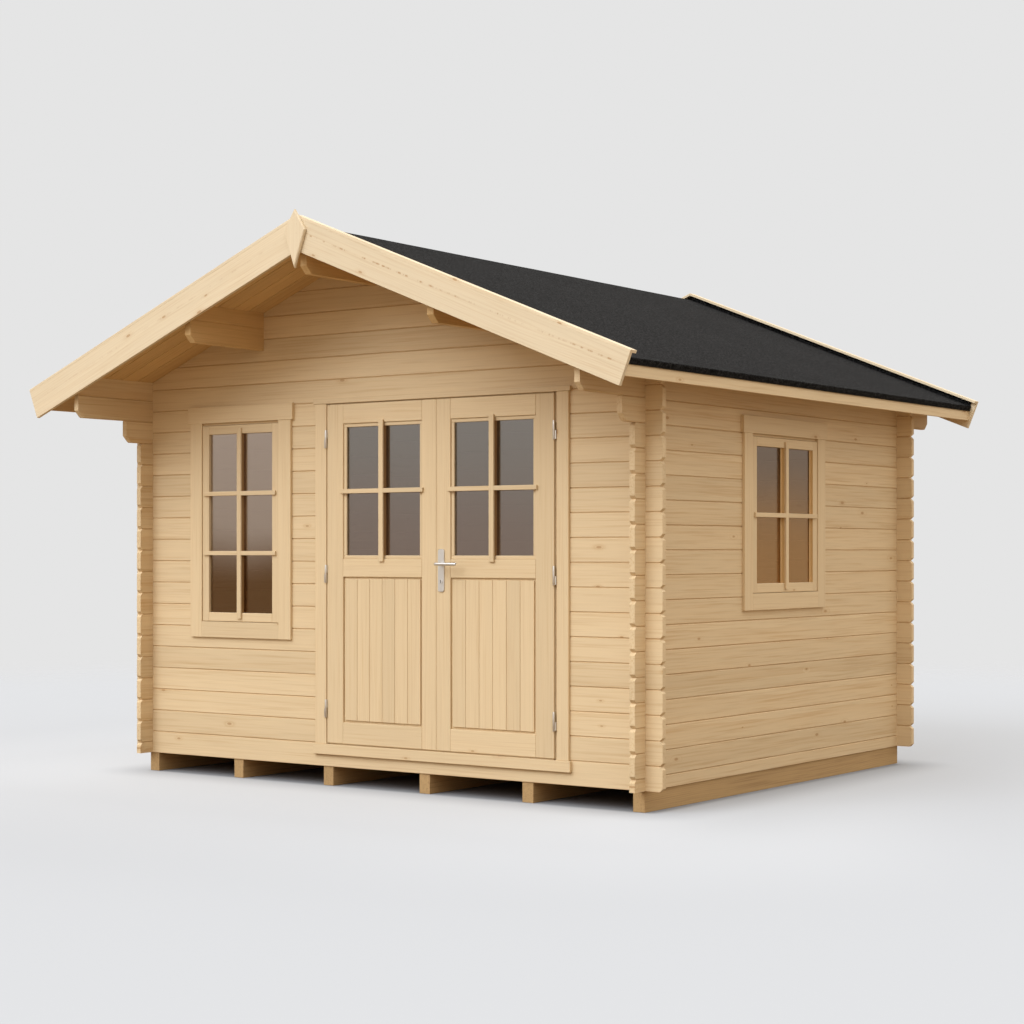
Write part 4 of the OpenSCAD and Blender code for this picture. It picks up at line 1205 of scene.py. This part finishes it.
def studio_floor():
    """A flat disc, point = radius * (cos a, sin a), that turns transparent towards its rim. Its glow is a
    sum of smooth steps in the distance from the foot of the chalet."""
    angle = np.linspace(0, 2 * math.pi, FLOOR_STEPS + 1)[:-1]
    rim = np.stack([np.cos(angle), np.sin(angle), 0 * angle], 1) * FLOOR_FADE[1]
    mesh = bpy.data.meshes.new("studio_floor")
    mesh.from_pydata(rim.tolist(), [], [list(range(len(rim)))])
    paper = Finish(bpy.data.materials.new("studio_paper"))
    places = paper.places()
    axes = paper.axes(places)
    reach = paper.node("VectorMath", places, operation="LENGTH").outputs["Value"]
    seen = paper.node("LightPath").outputs["Is Camera Ray"]
    gaps = []
    for axis, middle, half in zip(axes, FLOOR_FOOT_MIDDLE, FLOOR_FOOT):
        side = paper.sum("ABSOLUTE", paper.sum("SUBTRACT", axis, middle))
        gaps.append(paper.sum("MAXIMUM", paper.sum("SUBTRACT", side, half), 0.0))
    away = paper.sum("SQRT", paper.ramp(gaps[0], gaps[0], paper.times(gaps[1], gaps[1])))
    lee = paper.ramp(axes[1], FLOOR_LEE_SHARE, axes[0])
    strength = paper.sum("ADD", *(
        paper.ease(away, 0.0, full, 0.0, glow) for full, glow in (FLOOR_GLOW_NEAR, FLOOR_GLOW_FAR)))
    for full, glow, end, lee_start, lee_end in (FLOOR_GLOW_BROAD, FLOOR_GLOW_LIT):
        band = paper.times(paper.ease(away, 0.0, full, 0.0, glow), paper.ease(away, full, end, 1.0, 0.0))
        strength = paper.ramp(band, paper.ease(lee, lee_start, lee_end, 1.0, 0.0), strength)
    paper.feed("Base Color", paper.mix(seen, FLOOR_BOUNCE, FLOOR_GREY))
    paper.feed("Emission Color", WHITE)
    paper.feed("Emission Strength", paper.times(seen, strength))
    paper.feed("Roughness", 0.9)
    paper.feed("Specular IOR Level", 0.0)
    paper.feed("Alpha", paper.ease(reach, *FLOOR_FADE, 1.0, 0.0))
    mesh.materials.append(paper.owner)
    floor = bpy.data.objects.new("studio_floor", mesh)
    scene.collection.objects.link(floor)


studio_floor()
print("floor fades out at", FLOOR_FADE[1], "m")

# %% Studio light
SURROUND = (0.783, 0.783, 0.783, 1.0)
STUDIO_WALLS = (0.59, 0.488, 0.376, 1.0)
STUDIO_CEILING = (1.90, 1.87, 1.82, 1.0)
LAMP_FROM = (-0.20, -0.78, 0.58)
LAMP_POWER = 1.50
LAMP_TINT = (0.94, 1.0, 1.08)
LAMP_ANGLE = 42.0

scene.world = bpy.data.worlds.new("studio_surround")
surround = Finish(scene.world, "Background")
rise = surround.axes(surround.node("TexCoord").outputs["Generated"])[2]
seen = surround.node("LightPath").outputs["Is Camera Ray"]
glow = surround.mix(rise, STUDIO_WALLS, STUDIO_CEILING)
surround.feed("Color", surround.mix(seen, glow, SURROUND))

lamp_data = bpy.data.lights.new("broad_lamp", "SUN")
lamp_data.energy = LAMP_POWER
lamp_data.color = LAMP_TINT
lamp_data.angle = math.radians(LAMP_ANGLE)
lamp = bpy.data.objects.new("broad_lamp", lamp_data)
lamp.rotation_euler = Vector(LAMP_FROM).to_track_quat("Z", "Y").to_euler()
scene.collection.objects.link(lamp)
print("lamp from", LAMP_FROM)
